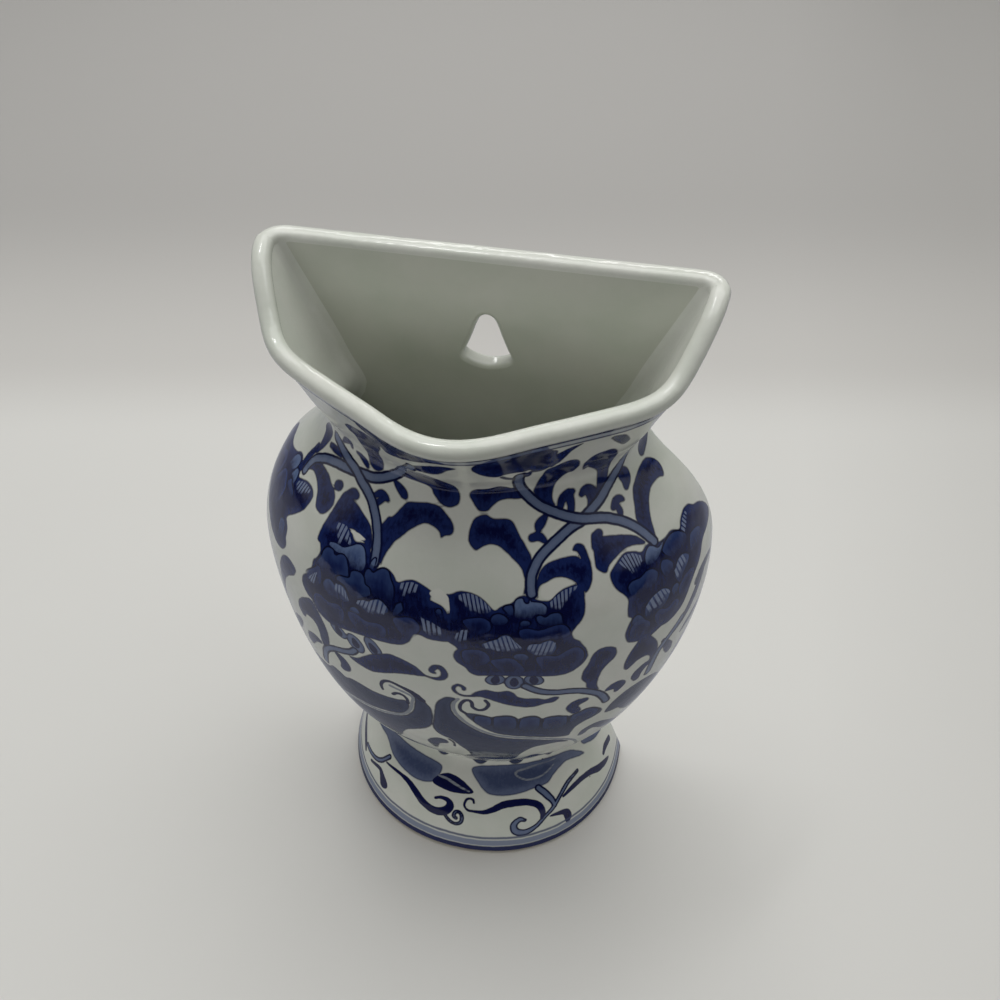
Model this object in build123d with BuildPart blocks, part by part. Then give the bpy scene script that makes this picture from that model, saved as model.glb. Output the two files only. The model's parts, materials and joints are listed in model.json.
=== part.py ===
"""Hanging wall vase: a half baluster in porcelain, flat at the back, with a brace-shaped mouth.

Millimetres. +Z is up, -Y is the front, and the flat back faces +Y. The origin is on the
ground, under the middle of the vase's box.
"""
import math
import os

from build123d import *

# The whole vase
vase_height = 200.0
vase_depth = 55.0
wall = 3.8
plate_thickness = 5.0
back_corner_radius = 2.4
overrun = 10.0

# The foot
foot_width = 98.6
foot_depth = 52.8
ring_height = 2.0
ring_set_in = 0.7
ring_width = 3.0

# The waist, where the foot is luted under the body
waist_height = 28.0
waist_width = 69.0
waist_depth = 34.0
floor_thickness = 5.0

# The belly at its widest, and the shoulder's height from there up to the neck
belly_width = 127.6
shoulder_height = 49.0

# The neck at its narrowest, and the collar's height from there up to the top of the lip
neck_width = 80.4
neck_depth = 41.0
collar_height = 41.0

# The mouth and its rolled lip, which rises from the front to the back
mouth_width = 111.2
mouth_depth = 53.6
lip_rise = 16.5
lip_height = 4.4
lip_proud = 0.4
lip_corner_radius = 2.4
lip_round = 1.0

# The hanging hole, whose apex lies below the top of the back
hole_drop = 16.5
hole_height = 14.2
hole_width = 12.4
hole_corner_height = 3.0
hole_side_bulge = 0.5
hole_corner_radius = 1.4

# How round the sections are: 2 is an ellipse, more is squarer
roundness = 2.1

# Half of the brace-shaped mouth, from its pointed front round to its straight side:
# shares of the half width and of the reach in front of the back plate
brace_shares = [
    (0.0, 1.0),
    (0.2, 0.95),
    (0.38, 0.842),
    (0.56, 0.732),
    (0.73, 0.625),
    (0.87, 0.53),
    (0.965, 0.41),
    (0.995, 0.22),
    (1.0, 0.0),
]

# Each stretch of the profile: height share, width share, depth share, brace share.
# The first and last rows run on past the ground and the lip, where the forms are cut.
foot_shares = [
    (-0.25, 1.17, 1.2, 0.0),
    (0.0, 1.0, 1.0, 0.0),
    (0.11, 0.95, 0.94, 0.0),
    (0.22, 0.87, 0.85, 0.0),
    (0.46, 0.71, 0.68, 0.0),
    (0.7, 0.45, 0.42, 0.0),
    (0.86, 0.2, 0.18, 0.0),
]
belly_shares = [
    (0.0, 0.0, 0.0, 0.0),
    (0.06, 0.07, 0.09, 0.0),
    (0.15, 0.2, 0.27, 0.0),
    (0.33, 0.48, 0.66, 0.0),
    (0.54, 0.74, 0.94, 0.0),
    (0.76, 0.92, 1.0, 0.0),
]
shoulder_shares = [
    (0.0, 1.0, 0.98, 0.0),
    (0.41, 0.875, 0.92, 0.0),
    (0.66, 0.53, 0.7, 0.03),
    (0.82, 0.2, 0.37, 0.1),
    (0.92, 0.05, 0.12, 0.2),
]
neck_shares = [
    (0.0, 0.0, 0.0, 0.32),
    (0.17, 0.15, 0.27, 0.6),
    (0.34, 0.31, 0.58, 0.85),
    (0.51, 0.48, 0.91, 1.0),
    (0.68, 0.66, 1.26, 1.0),
    (0.85, 0.84, 1.61, 1.0),
    (1.1, 1.1, 2.12, 1.0),
]

# The lip seen from the side: share of the mouth's depth, share of the rise from front to back
lip_side_shares = [
    (0.11, 1.0),
    (0.19, 0.93),
    (0.28, 0.72),
    (0.39, 0.37),
    (0.5, 0.11),
    (0.62, 0.0),
]

back_y = vase_depth / 2
plate_front_y = back_y - plate_thickness
lip_front_height = vase_height - lip_rise
neck_height = vase_height - collar_height
belly_height = neck_height - shoulder_height

# The vase's upright stretches, each with its ends' heights, half widths and depths
stretches = [
    (foot_shares, 0.0, waist_height, waist_width, foot_width, waist_depth, foot_depth),
    (belly_shares, waist_height, belly_height, waist_width, belly_width, waist_depth, vase_depth),
    (shoulder_shares, belly_height, neck_height, neck_width, belly_width, neck_depth, vase_depth),
    (neck_shares, neck_height, vase_height, neck_width, mouth_width, neck_depth, mouth_depth),
]


def profile():
    """Height, half width, depth and brace share of every section, from the ground up."""
    rows = []
    for shares, low, high, slim, wide, shallow, deep in stretches:
        for height_share, width_share, depth_share, brace_share in shares:
            height = low + (high - low) * height_share
            half_width = (slim + (wide - slim) * width_share) / 2
            depth = shallow + (deep - shallow) * depth_share
            rows.append((height, half_width, depth, brace_share))
    return rows


def front_shares(brace_share):
    """Half of a section's front, from its middle to its side, between round and brace."""
    shares = []
    steps = len(brace_shares) - 1
    for step, (brace_x, brace_y) in enumerate(brace_shares):
        angle = math.radians(90 * step / steps)
        round_x = math.sin(angle) ** (2 / roundness)
        round_y = math.cos(angle) ** (2 / roundness) if step < steps else 0
        x = round_x + (brace_x - round_x) * brace_share
        y = round_y + (brace_y - round_y) * brace_share
        shares.append((x, y))
    return shares


def front_wall(half_width, depth, brace_share):
    """The bowed front of a section, from one side of the back plate's front face to the other."""
    reach = depth - plate_thickness
    half = []
    for x, y in reversed(front_shares(brace_share)):
        half.append((half_width * x, plate_front_y - reach * y))
    other = [(-x, y) for x, y in reversed(half[:-1])]
    points = half + other
    spans = len(points) - 1
    knots = [step / spans for step in range(len(points))]
    pull = math.dist(points[0], points[1]) * spans
    return Edge.make_spline(points, [(0, -pull), (0, pull)], parameters=knots, scale=False)


def form(rows, grow):
    """A loft of whole sections, each grown sideways and forwards, that runs on past the back."""
    with BuildPart() as body:
        for height, half_width, depth, brace_share in rows:
            side = half_width + grow
            with BuildSketch(Plane.XY.offset(height)):
                with BuildLine():
                    add(front_wall(side, depth + grow, brace_share))
                    Polyline(
                        (-side, plate_front_y),
                        (-side, back_y + overrun),
                        (side, back_y + overrun),
                        (side, plate_front_y),
                    )
                make_face()
        loft()
    return body.part


def trimmed(solid, y):
    """What lies in front of y, with a flat back there."""
    with BuildPart() as body:
        add(solid)
        split(bisect_by=Plane.XZ.offset(-y), keep=Keep.TOP)
    return body.part


def back_corners(solid):
    """The two upright edges at the ends of a flat back."""
    return solid.faces().sort_by(Axis.Y)[-1].edges().filter_by(GeomType.LINE, reverse=True)


def outline_edges(faces):
    """The edges that belong to only one of the faces."""
    every_edge = [edge for face in faces for edge in face.edges()]
    return faces.edges().filter_by(lambda edge: sum(edge.is_same(other) for other in every_edge) == 1)


def foot_outline(grow):
    """The foot's D outline at the ground, grown on every side."""
    side = foot_width / 2 + grow
    line_y = back_y + grow
    with BuildSketch() as outline:
        with BuildLine():
            add(front_wall(side, foot_depth + grow, 0))
            Polyline(
                (-side, plate_front_y),
                (-side, line_y),
                (side, line_y),
                (side, plate_front_y),
            )
        make_face()
    return outline.sketch


def above_lip(drop):
    """The space above the lip's side line, with that line lowered by drop."""
    line = []
    for depth_share, rise_share in lip_side_shares:
        y = back_y - mouth_depth * depth_share
        z = lip_front_height + lip_rise * rise_share - drop
        line.append((y, z))
    front_y = back_y - mouth_depth - mouth_depth
    top = vase_height + overrun
    with BuildPart() as space:
        with BuildSketch(Plane.YZ):
            with BuildLine():
                Line((back_y + overrun, line[0][1]), line[0])
                Spline(*line, tangents=[(-1, 0), (-1, 0)])
                Polyline(
                    line[-1],
                    (front_y, line[-1][1]),
                    (front_y, top),
                    (back_y + overrun, top),
                    (back_y + overrun, line[0][1]),
                )
            make_face()
        extrude(amount=mouth_width, both=True)
    return space.part


sections = profile()
upper_sections = [row for row in sections if row[0] > neck_height]
waist = Plane.XY.offset(waist_height)
neck = Plane.XY.offset(neck_height)
front_side = Plane.XZ.offset(-plate_front_y)

outside = trimmed(form(sections, 0), back_y)
inside = form(sections, -wall)
above_bead = above_lip(lip_height)

# The rolled lip round the whole mouth
lip_back_y = plate_front_y - lip_proud
with BuildPart() as mouth_hollow:
    add(trimmed(form(upper_sections, -wall - lip_proud), lip_back_y))
    fillet(back_corners(mouth_hollow), lip_corner_radius)
with BuildPart() as mouth_rim:
    add(trimmed(form(upper_sections, lip_proud), back_y))
    fillet(back_corners(mouth_rim), back_corner_radius)
    add(mouth_hollow.part, mode=Mode.SUBTRACT)
    add(above_lip(0), mode=Mode.SUBTRACT)
    add(above_bead, mode=Mode.INTERSECT)
    top_faces = mouth_rim.faces().filter_by(lambda face: face.normal_at().Z > 0)
    fillet(outline_edges(top_faces), lip_round)
mouth_rim.part.label = "mouth_rim"

# The flared front wall between the neck and the lip
with BuildPart() as neck_collar:
    add(outside)
    split(bisect_by=neck, keep=Keep.TOP)
    split(bisect_by=front_side, keep=Keep.TOP)
    add(above_bead, mode=Mode.SUBTRACT)
    add(inside, mode=Mode.SUBTRACT)
neck_collar.part.label = "neck_collar"

# The belly's front wall
with BuildPart() as body_shell:
    add(outside)
    split(bisect_by=waist, keep=Keep.TOP)
    split(bisect_by=neck, keep=Keep.BOTTOM)
    split(bisect_by=front_side, keep=Keep.TOP)
    add(inside, mode=Mode.SUBTRACT)
body_shell.part.label = "body_shell"

# The flat back with its rounded triangular hanging hole
hole_apex_height = vase_height - hole_drop
hole_base = hole_apex_height - hole_height
hole_corner = (hole_width / 2, hole_base + hole_corner_height)
hole_apex = (0, hole_apex_height)
hole_side = (hole_corner[0] / 2 + hole_side_bulge, (hole_corner[1] + hole_apex_height) / 2)
with BuildPart() as back_plate:
    add(outside)
    split(bisect_by=waist, keep=Keep.TOP)
    split(bisect_by=front_side, keep=Keep.BOTTOM)
    add(above_bead, mode=Mode.SUBTRACT)
    fillet(back_corners(back_plate), back_corner_radius)
    with BuildSketch(front_side):
        with BuildLine():
            right = ThreePointArc(hole_corner, hole_side, hole_apex)
            mirror(right, about=Plane.YZ)
            ThreePointArc((-hole_corner[0], hole_corner[1]), (0, hole_base), hole_corner)
        make_face()
        fillet(vertices(), hole_corner_radius)
    extrude(amount=-plate_thickness, mode=Mode.SUBTRACT)
back_plate.part.label = "back_plate"

# The slab that closes the bottom of the cavity
with BuildPart() as body_floor:
    add(inside)
    split(bisect_by=waist, keep=Keep.TOP)
    split(bisect_by=Plane.XY.offset(waist_height + floor_thickness), keep=Keep.BOTTOM)
    split(bisect_by=front_side, keep=Keep.TOP)
body_floor.part.label = "body_floor"

# The flared foot, with its own flat back
with BuildPart() as foot_skirt:
    add(outside)
    split(bisect_by=Plane.XY.offset(ring_height), keep=Keep.TOP)
    split(bisect_by=waist, keep=Keep.BOTTOM)
    fillet(back_corners(foot_skirt), back_corner_radius)
    add(trimmed(inside, plate_front_y), mode=Mode.SUBTRACT)
foot_skirt.part.label = "foot_skirt"

# The bare standing ring under the foot
with BuildPart() as foot_ring:
    with BuildSketch():
        add(foot_outline(-ring_set_in))
        add(foot_outline(-ring_set_in - ring_width), mode=Mode.SUBTRACT)
    extrude(amount=ring_height)
    fillet(foot_ring.faces().sort_by(Axis.Y)[-1].edges().filter_by(Axis.Z), back_corner_radius)
foot_ring.part.label = "foot_ring"

os.makedirs("parts", exist_ok=True)
for piece in (mouth_rim, neck_collar, body_shell, back_plate, body_floor, foot_skirt, foot_ring):
    export_step(piece.part, f"parts/{piece.part.label}.step")
    print(piece.part.label, round(piece.part.volume / 1000, 1), "cm3", piece.part.bounding_box().size)
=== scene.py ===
# %% [markdown]
# # A blue-and-white wall vase
# The vase is half a baluster in porcelain, flat at the back so that it hangs on a wall.
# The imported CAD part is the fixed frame: its solids say where every piece lies, and this
# script builds the finished skins, the brush painting, the glaze, the light and the camera.

# %% Load the frame
import json
import math

import bpy
import numpy as np
from mathutils import Matrix, Vector
from mathutils.geometry import tessellate_polygon

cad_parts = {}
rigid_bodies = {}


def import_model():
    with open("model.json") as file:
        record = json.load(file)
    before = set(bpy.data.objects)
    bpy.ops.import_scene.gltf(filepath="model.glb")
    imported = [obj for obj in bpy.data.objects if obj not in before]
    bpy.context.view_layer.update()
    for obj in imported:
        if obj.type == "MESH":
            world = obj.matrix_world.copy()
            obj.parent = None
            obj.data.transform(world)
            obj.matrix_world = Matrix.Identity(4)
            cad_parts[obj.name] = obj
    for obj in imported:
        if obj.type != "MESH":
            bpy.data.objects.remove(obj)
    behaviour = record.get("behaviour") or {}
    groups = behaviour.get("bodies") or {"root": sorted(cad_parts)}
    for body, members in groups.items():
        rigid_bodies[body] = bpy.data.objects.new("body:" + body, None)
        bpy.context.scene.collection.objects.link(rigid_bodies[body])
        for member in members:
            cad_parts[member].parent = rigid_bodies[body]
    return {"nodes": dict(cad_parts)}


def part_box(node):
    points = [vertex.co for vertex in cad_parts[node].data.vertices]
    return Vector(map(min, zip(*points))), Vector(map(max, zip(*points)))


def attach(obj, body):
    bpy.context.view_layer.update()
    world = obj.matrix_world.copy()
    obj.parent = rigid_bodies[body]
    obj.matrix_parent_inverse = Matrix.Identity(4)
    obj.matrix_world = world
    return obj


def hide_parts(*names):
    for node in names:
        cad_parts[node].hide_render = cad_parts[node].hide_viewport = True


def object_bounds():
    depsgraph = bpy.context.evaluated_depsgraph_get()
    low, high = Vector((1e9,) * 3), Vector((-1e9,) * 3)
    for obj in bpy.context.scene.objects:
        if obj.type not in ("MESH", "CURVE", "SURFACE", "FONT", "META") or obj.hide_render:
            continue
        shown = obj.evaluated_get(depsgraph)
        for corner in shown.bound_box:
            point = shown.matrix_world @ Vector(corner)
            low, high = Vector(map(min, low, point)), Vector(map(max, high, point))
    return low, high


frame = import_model()
cad_low, cad_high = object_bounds()
MM = 0.001
print("CAD box in mm:", [round(v / MM, 2) for v in (*cad_low, *cad_high)])

# %% [markdown]
# ## The form
# A thrower draws such a form as a profile: the height, half width and depth of each ring
# from the ground up. Here each ring also says how far it has gone over from a plain
# rounded front to the pointed bracket shape of the mouth. The heights and widths come from
# the frame, and the rows are shares of them, as in the part's own source. The alternative,
# to reuse the CAD mesh, would leave its flat facets in the gloss.

# %% The profile's rings
BACK = cad_high.y / MM
DEPTH = (cad_high.y - cad_low.y) / MM
TOP = cad_high.z / MM
PLATE_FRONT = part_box("back_plate")[0].y / MM
PLATE = BACK - PLATE_FRONT
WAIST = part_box("body_shell")[0].z / MM
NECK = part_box("body_shell")[1].z / MM
BELLY = 110.0
WALL = 3.8
WAIST_HALF, WAIST_DEPTH = 34.5, 34.0
BELLY_HALF = 63.78
NECK_HALF, NECK_DEPTH = 40.2, 41.0
FOOT_HALF, FOOT_DEPTH = 49.3, 52.8
MOUTH_HALF, MOUTH_DEPTH = 55.6, 53.6

# Rows: height share, width share, depth share, bracket share
foot_shares = [(-0.25, 1.17, 1.2, 0), (0, 1, 1, 0), (0.11, 0.95, 0.94, 0), (0.22, 0.87, 0.85, 0),
               (0.46, 0.71, 0.68, 0), (0.7, 0.45, 0.42, 0), (0.86, 0.2, 0.18, 0)]
belly_shares = [(0, 0, 0, 0), (0.06, 0.07, 0.09, 0), (0.15, 0.2, 0.27, 0), (0.33, 0.48, 0.66, 0),
                (0.54, 0.74, 0.94, 0), (0.76, 0.92, 1, 0)]
shoulder_shares = [(0, 1, 0.98, 0), (0.41, 0.875, 0.92, 0), (0.66, 0.53, 0.7, 0.03),
                   (0.82, 0.2, 0.37, 0.1), (0.92, 0.05, 0.12, 0.2)]
neck_shares = [(0, 0, 0, 0.32), (0.17, 0.15, 0.27, 0.6), (0.34, 0.31, 0.58, 0.85),
               (0.51, 0.48, 0.91, 1), (0.68, 0.66, 1.26, 1), (0.85, 0.84, 1.61, 1), (1.1, 1.1, 2.12, 1)]
stretches = [
    (foot_shares, 0, WAIST, WAIST_HALF, FOOT_HALF, WAIST_DEPTH, FOOT_DEPTH),
    (belly_shares, WAIST, BELLY, WAIST_HALF, BELLY_HALF, WAIST_DEPTH, DEPTH),
    (shoulder_shares, BELLY, NECK, NECK_HALF, BELLY_HALF, NECK_DEPTH, DEPTH),
    (neck_shares, NECK, TOP, NECK_HALF, MOUTH_HALF, NECK_DEPTH, MOUTH_DEPTH),
]
rings = np.array([
    (low + (high - low) * h, slim + (wide - slim) * w, shallow + (deep - shallow) * d, bracket)
    for shares, low, high, slim, wide, shallow, deep in stretches
    for h, w, d, bracket in shares
])
print(len(rings), "rings from the ground to above the lip")


# %% [markdown]
# A lath bent through a few pegs gives the same smooth line as a cubic spline. One small
# helper bends such a line through any points, and everything that has to be smooth uses it:
# the profile, the fronts of the sections and the line of the lip.

# %% A smooth line through a few points
def bend(places, values, at, ends=None):
    """Reads the cubic spline through (places, values) at the given places."""
    x = np.asarray(places, float)
    y = np.asarray(values, float).reshape(len(x), -1)
    gap = np.diff(x)
    slope = np.diff(y, axis=0) / gap[:, None]
    system = np.zeros((len(x), len(x)))
    right = np.zeros(y.shape)
    for i in range(1, len(x) - 1):
        system[i, i - 1:i + 2] = gap[i - 1], 2 * (gap[i - 1] + gap[i]), gap[i]
        right[i] = 6 * (slope[i] - slope[i - 1])
    system[0, 0] = system[-1, -1] = 1
    if ends is not None:
        system[0, :2] = 2 * gap[0], gap[0]
        system[-1, -2:] = gap[-1], 2 * gap[-1]
        right[0] = 6 * (slope[0] - ends[0])
        right[-1] = 6 * (ends[1] - slope[-1])
    curl = np.linalg.solve(system, right)
    at = np.asarray(at, float)
    i = np.clip(np.searchsorted(x, at, side="right") - 1, 0, len(x) - 2)
    t = (at - x[i])[:, None]
    k = gap[i][:, None]
    return (y[i] + t * (slope[i] - k * (2 * curl[i] + curl[i + 1]) / 6)
            + t * t * curl[i] / 2 + t ** 3 * (curl[i + 1] - curl[i]) / (6 * k))


print("a lath over pegs at 0, 1 and 0, between two of them:", bend([0, 1, 2], [0, 1, 0], [0.5])[0, 0])


# %% [markdown]
# Seen from above, a section's front is a rounded bow at the belly and a bracket at the
# mouth: a soft point in the middle and a hollow on each side of it. Both are drawn once
# with a half width and a reach of 1, and every ring blends the two.

# %% The two fronts that every section blends
ROUNDNESS = 2.1
bracket_shares = np.array([(0, 1), (0.2, 0.95), (0.38, 0.842), (0.56, 0.732), (0.73, 0.625),
                           (0.87, 0.53), (0.965, 0.41), (0.995, 0.22), (1, 0)])
FINE = 801


def quarter_turn(steps):
    """Angles from 0 to a right angle."""
    return np.radians(np.linspace(0, 90, steps))


quarter = quarter_turn(len(bracket_shares))
bow_shares = np.stack([np.sin(quarter) ** (2 / ROUNDNESS),
                       np.clip(np.cos(quarter), 0, 1) ** (2 / ROUNDNESS)], axis=1)
bow_shares[-1] = 1, 0


def whole_front(half):
    """Mirrors half of a front and draws the smooth line from one side to the other."""
    points = np.vstack([half[:0:-1] * [-1, 1], half])
    pull = np.hypot(*(half[-1] - half[-2])) * (len(half) - 1)
    knots = np.linspace(-1, 1, len(points))
    return bend(knots, points, np.linspace(-1, 1, FINE), (np.array([0, pull]), np.array([0, -pull])))


bow, bracket = whole_front(bow_shares), whole_front(bracket_shares)
print("bow and bracket:", FINE, "points each")


# %% Rows of points on the wall, with their slopes and half widths
def wall_rows(around, heights, grow=0.0):
    """Points of the front wall in mm: a row for each height, a column for each share around.

    around runs from -1 at the left edge of the back plate over 0 at the middle to 1."""
    half, depth, share = bend(rings[:, 0], rings[:, 1:], heights).T
    out = np.empty((len(heights), len(around), 3))
    for row in range(len(heights)):
        unit = bow + (bracket - bow) * share[row]
        x = (half[row] + grow) * unit[:, 0]
        y = PLATE_FRONT - (depth[row] - PLATE + grow) * unit[:, 1]
        run = np.concatenate([[0], np.cumsum(np.hypot(np.diff(x), np.diff(y)))])
        run = run / run[-1] * 2 - 1
        out[row] = np.stack([np.interp(around, run, x), np.interp(around, run, y),
                             np.full(len(around), heights[row])], axis=1)
    return out


def facing(points, outward=1):
    """Unit normals of a grid of points, from the grid's own slopes."""
    n = np.cross(np.gradient(points, axis=1, edge_order=2), np.gradient(points, axis=0, edge_order=2))
    return outward * n / np.linalg.norm(n, axis=2, keepdims=True)


def loop_facing(points, outward=1):
    """The same for closed loops, whose first and last columns are neighbours."""
    padded = np.concatenate([points[:, -2:], points, points[:, :2]], axis=1)
    return facing(padded, outward)[:, 2:-2]


def side_half(heights):
    """The half width of the flat sides at these heights."""
    return bend(rings[:, 0], rings[:, 1], heights)[:, 0]


print("belly, widest half width:", round(float(side_half([BELLY])[0]), 2), "mm")


# %% [markdown]
# ## Skins from rows of points
# Each piece is a closed skin: a grid of points outside, one inside, and flat joints where
# the potter lutes it to its neighbour. The grids get the true slopes of the form as their
# normals, so that the gloss runs over a joint without a step. Each grid also gets its
# own patch of one map, which keeps the painting sharp when the finish is baked.

# %% A skin that is built up sheet by sheet
class Skin:
    """One piece's points, faces, normals and map places, collected sheet by sheet."""

    def __init__(self):
        self.points, self.normals, self.places = [], [], []
        self.faces, self.flat, self.corners = [], [], []
        self.total = 0

    def add_points(self, points, normals=None, places=None):
        """Adds loose points, with (around, height) places where they can be painted."""
        flat = np.asarray(points, float).reshape(-1, 3)
        self.points.append(flat)
        self.normals.append(np.zeros_like(flat) if normals is None else np.asarray(normals).reshape(-1, 3))
        self.places.append(np.full((len(flat), 2), np.nan) if places is None else places.reshape(-1, 2))
        start, self.total = self.total, self.total + len(flat)
        return np.arange(start, self.total)

    def add_grid(self, points, box, normals, places=None, closed=False):
        """Adds a sheet of quads in the map box (left, low, right, high); gives its indices.

        The faces are wound to look the way the normals point."""
        rows, columns = points.shape[:2]
        index = self.add_points(points, normals, places).reshape(rows, columns)
        wide = np.concatenate([index, index[:, :1]], axis=1) if closed else index
        across = np.linspace(box[0], box[2], wide.shape[1])
        up = np.linspace(box[1], box[3], rows)
        grid = np.stack(np.meshgrid(across, up), axis=2)
        quads = [a[i:i + rows - 1, j:j + wide.shape[1] - 1]
                 for a in (wide, grid) for i, j in ((0, 0), (0, 1), (1, 1), (1, 0))]
        faces = np.stack(quads[:4], axis=2).reshape(-1, 4)
        corners = np.stack(quads[4:], axis=2).reshape(-1, 4, 2)
        slant = np.cross(points[:-1, 1:] - points[:-1, :-1], points[1:, :-1] - points[:-1, :-1])
        if np.sum(slant * normals[:-1, :-1]) < 0:
            faces, corners = faces[:, ::-1], corners[:, ::-1]
        self.faces += faces.tolist()
        self.corners.append(corners.reshape(-1, 2))
        self.flat += [False] * len(faces)
        return index

    def add_cap(self, ring, box, axes):
        """Closes a flat ring of points with one face, laid out on the map by two axes."""
        at = np.concatenate(self.points)[ring][:, axes]
        low, size = at.min(0), np.ptp(at, axis=0).max()
        self.faces.append([int(i) for i in ring])
        self.corners.append((at - low) / size * (box[2] - box[0]) + box[:2])
        self.flat.append(True)

    def add_triangles(self, faces, box, axes):
        """Adds flat triangles over points that are there already."""
        at = np.concatenate(self.points)[:, axes]
        low, size = np.nanmin(at, axis=0), np.ptp(at, axis=0)
        for face in faces:
            self.faces.append([int(i) for i in face])
            self.corners.append((at[list(face)] - low) / size * np.subtract(box[2:], box[:2]) + box[:2])
            self.flat.append(True)

    def strip(self, ring_a, ring_b, box):
        """Joins two open lines of points of the same length with quads."""
        n = len(ring_a)
        t = np.linspace(box[0], box[2], n)
        for i in range(n - 1):
            self.faces.append([int(ring_a[i]), int(ring_a[i + 1]), int(ring_b[i + 1]), int(ring_b[i])])
            self.corners.append(np.array([(t[i], box[1]), (t[i + 1], box[1]),
                                          (t[i + 1], box[3]), (t[i], box[3])]))
            self.flat.append(True)


print("a new skin has", Skin().total, "points")


# %% From a skin to a Blender piece
def fire(skin, name, node, material):
    """Turns a finished skin into a Blender piece that stands for its CAD node."""
    points = np.concatenate(skin.points)
    normals = np.concatenate(skin.normals)
    mesh = bpy.data.meshes.new(name)
    mesh.from_pydata((points * MM).tolist(), [], skin.faces)
    mesh.polygons.foreach_set("use_smooth", [not flat for flat in skin.flat])
    mesh.uv_layers.new(name="OFBake")
    mesh.uv_layers["OFBake"].uv.foreach_set("vector", np.concatenate(skin.corners).astype(np.float32).ravel())
    corner_point = np.zeros(len(mesh.loops), np.int32)
    mesh.loops.foreach_get("vertex_index", corner_point)
    sizes = np.array([len(face) for face in skin.faces])
    on_flat = np.repeat(np.array(skin.flat), sizes)
    corner_normals = np.where(on_flat[:, None], 0, normals[corner_point])
    mesh.normals_split_custom_set(corner_normals.tolist())
    mesh.materials.append(material)
    piece = bpy.data.objects.new(name, mesh)
    bpy.context.scene.collection.objects.link(piece)
    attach(piece, "root")
    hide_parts(node)
    print(f"{name}: {len(points)} points, {len(skin.faces)} faces")
    return piece



# %% [markdown]
# ## The painter's map
# The decoration is painted freehand in cobalt under the glaze: three scrolling peonies with
# their stems, leaves and buds. Two numbers place a brush on the front wall. The first goes
# around, from -100 at the left edge over 0 in the middle to 100 at the right edge, and is
# worth nearly a millimetre. The second is the height in mm. An image would be quicker to
# make, but strokes stay sharp at any size and can be repainted.

# %% From the painter's map to the clay
EDGE = 100
map_around = np.linspace(-1, 1, 201)
map_heights = np.arange(0, TOP + 2, 1.0)
wall_map = wall_rows(map_around, map_heights)


def on_wall(around, height):
    """Points of the front wall in mm; past its edge the map goes straight back along the side."""
    a = (np.clip(around, -EDGE, EDGE) + EDGE) / (2 * EDGE) * (len(map_around) - 1)
    h = np.clip(height, 0, TOP)
    i, j = np.minimum(a.astype(int), len(map_around) - 2), np.minimum(h.astype(int), len(map_heights) - 2)
    s, t = (a - i)[:, None], (h - j)[:, None]
    at = ((wall_map[j, i] * (1 - s) + wall_map[j, i + 1] * s) * (1 - t)
          + (wall_map[j + 1, i] * (1 - s) + wall_map[j + 1, i + 1] * s) * t)
    at[:, 1] += np.maximum(np.abs(around) - EDGE, 0)
    return at


def smooth(points, closed, steps=5):
    """A smooth line that passes through every given point, open or closed."""
    p = np.asarray(points, float)
    if closed:
        p = np.vstack([p[-1:], p, p[:2]])
    else:
        p = np.vstack([2 * p[0] - p[1], p, 2 * p[-1] - p[-2]])
    t = (np.arange(steps) / steps)[None, :, None]
    a, b, c, d = p[:-3, None], p[1:-2, None], p[2:-1, None], p[3:, None]
    line = 0.5 * (2 * b + (c - a) * t + (2 * a - 5 * b + 4 * c - d) * t ** 2
                  + (3 * b - a - 3 * c + d) * t ** 3)
    line = line.reshape(-1, p.shape[1])
    return line if closed else np.vstack([line, p[-2:-1]])


print("painter's map:", len(map_around), "places around,", len(map_heights), "rows")


# %% [markdown]
# Brush marks are written as text, which keeps them short and easy to change. A stroke is a
# row of places, each with its half width in mm. A patch is a closed outline of places that
# have none. A curve runs smoothly through the places of either.

# %% Brush marks from text
def marks(text):
    """Reads marks that end with a semicolon, from places that are set apart by commas.

    A place is: around, height, half width. One half width for a whole mark stands before
    a colon, and a patch has none."""
    found = []
    for row in text.split(";"):
        width, _, line = row.rpartition(":")
        same = [float(width)] if width else []
        found.append([(*map(float, place.split()), *same) for place in line.split(",")])
    return found


print("a short stroke:", marks("1.5: 0 100, 5 110"))


# %% [markdown]
# Every coat of paint is kept as a distance: how many mm a point of the wall lies outside
# the nearest brush mark, or inside it where the number is negative. The finish then draws
# the sharp edge, the darker rim where the cobalt gathers and the softer middle from it.

# %% How far each point lies from a coat's brush marks
FAR = 4.0
PATCH_MARGIN = 4


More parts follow.
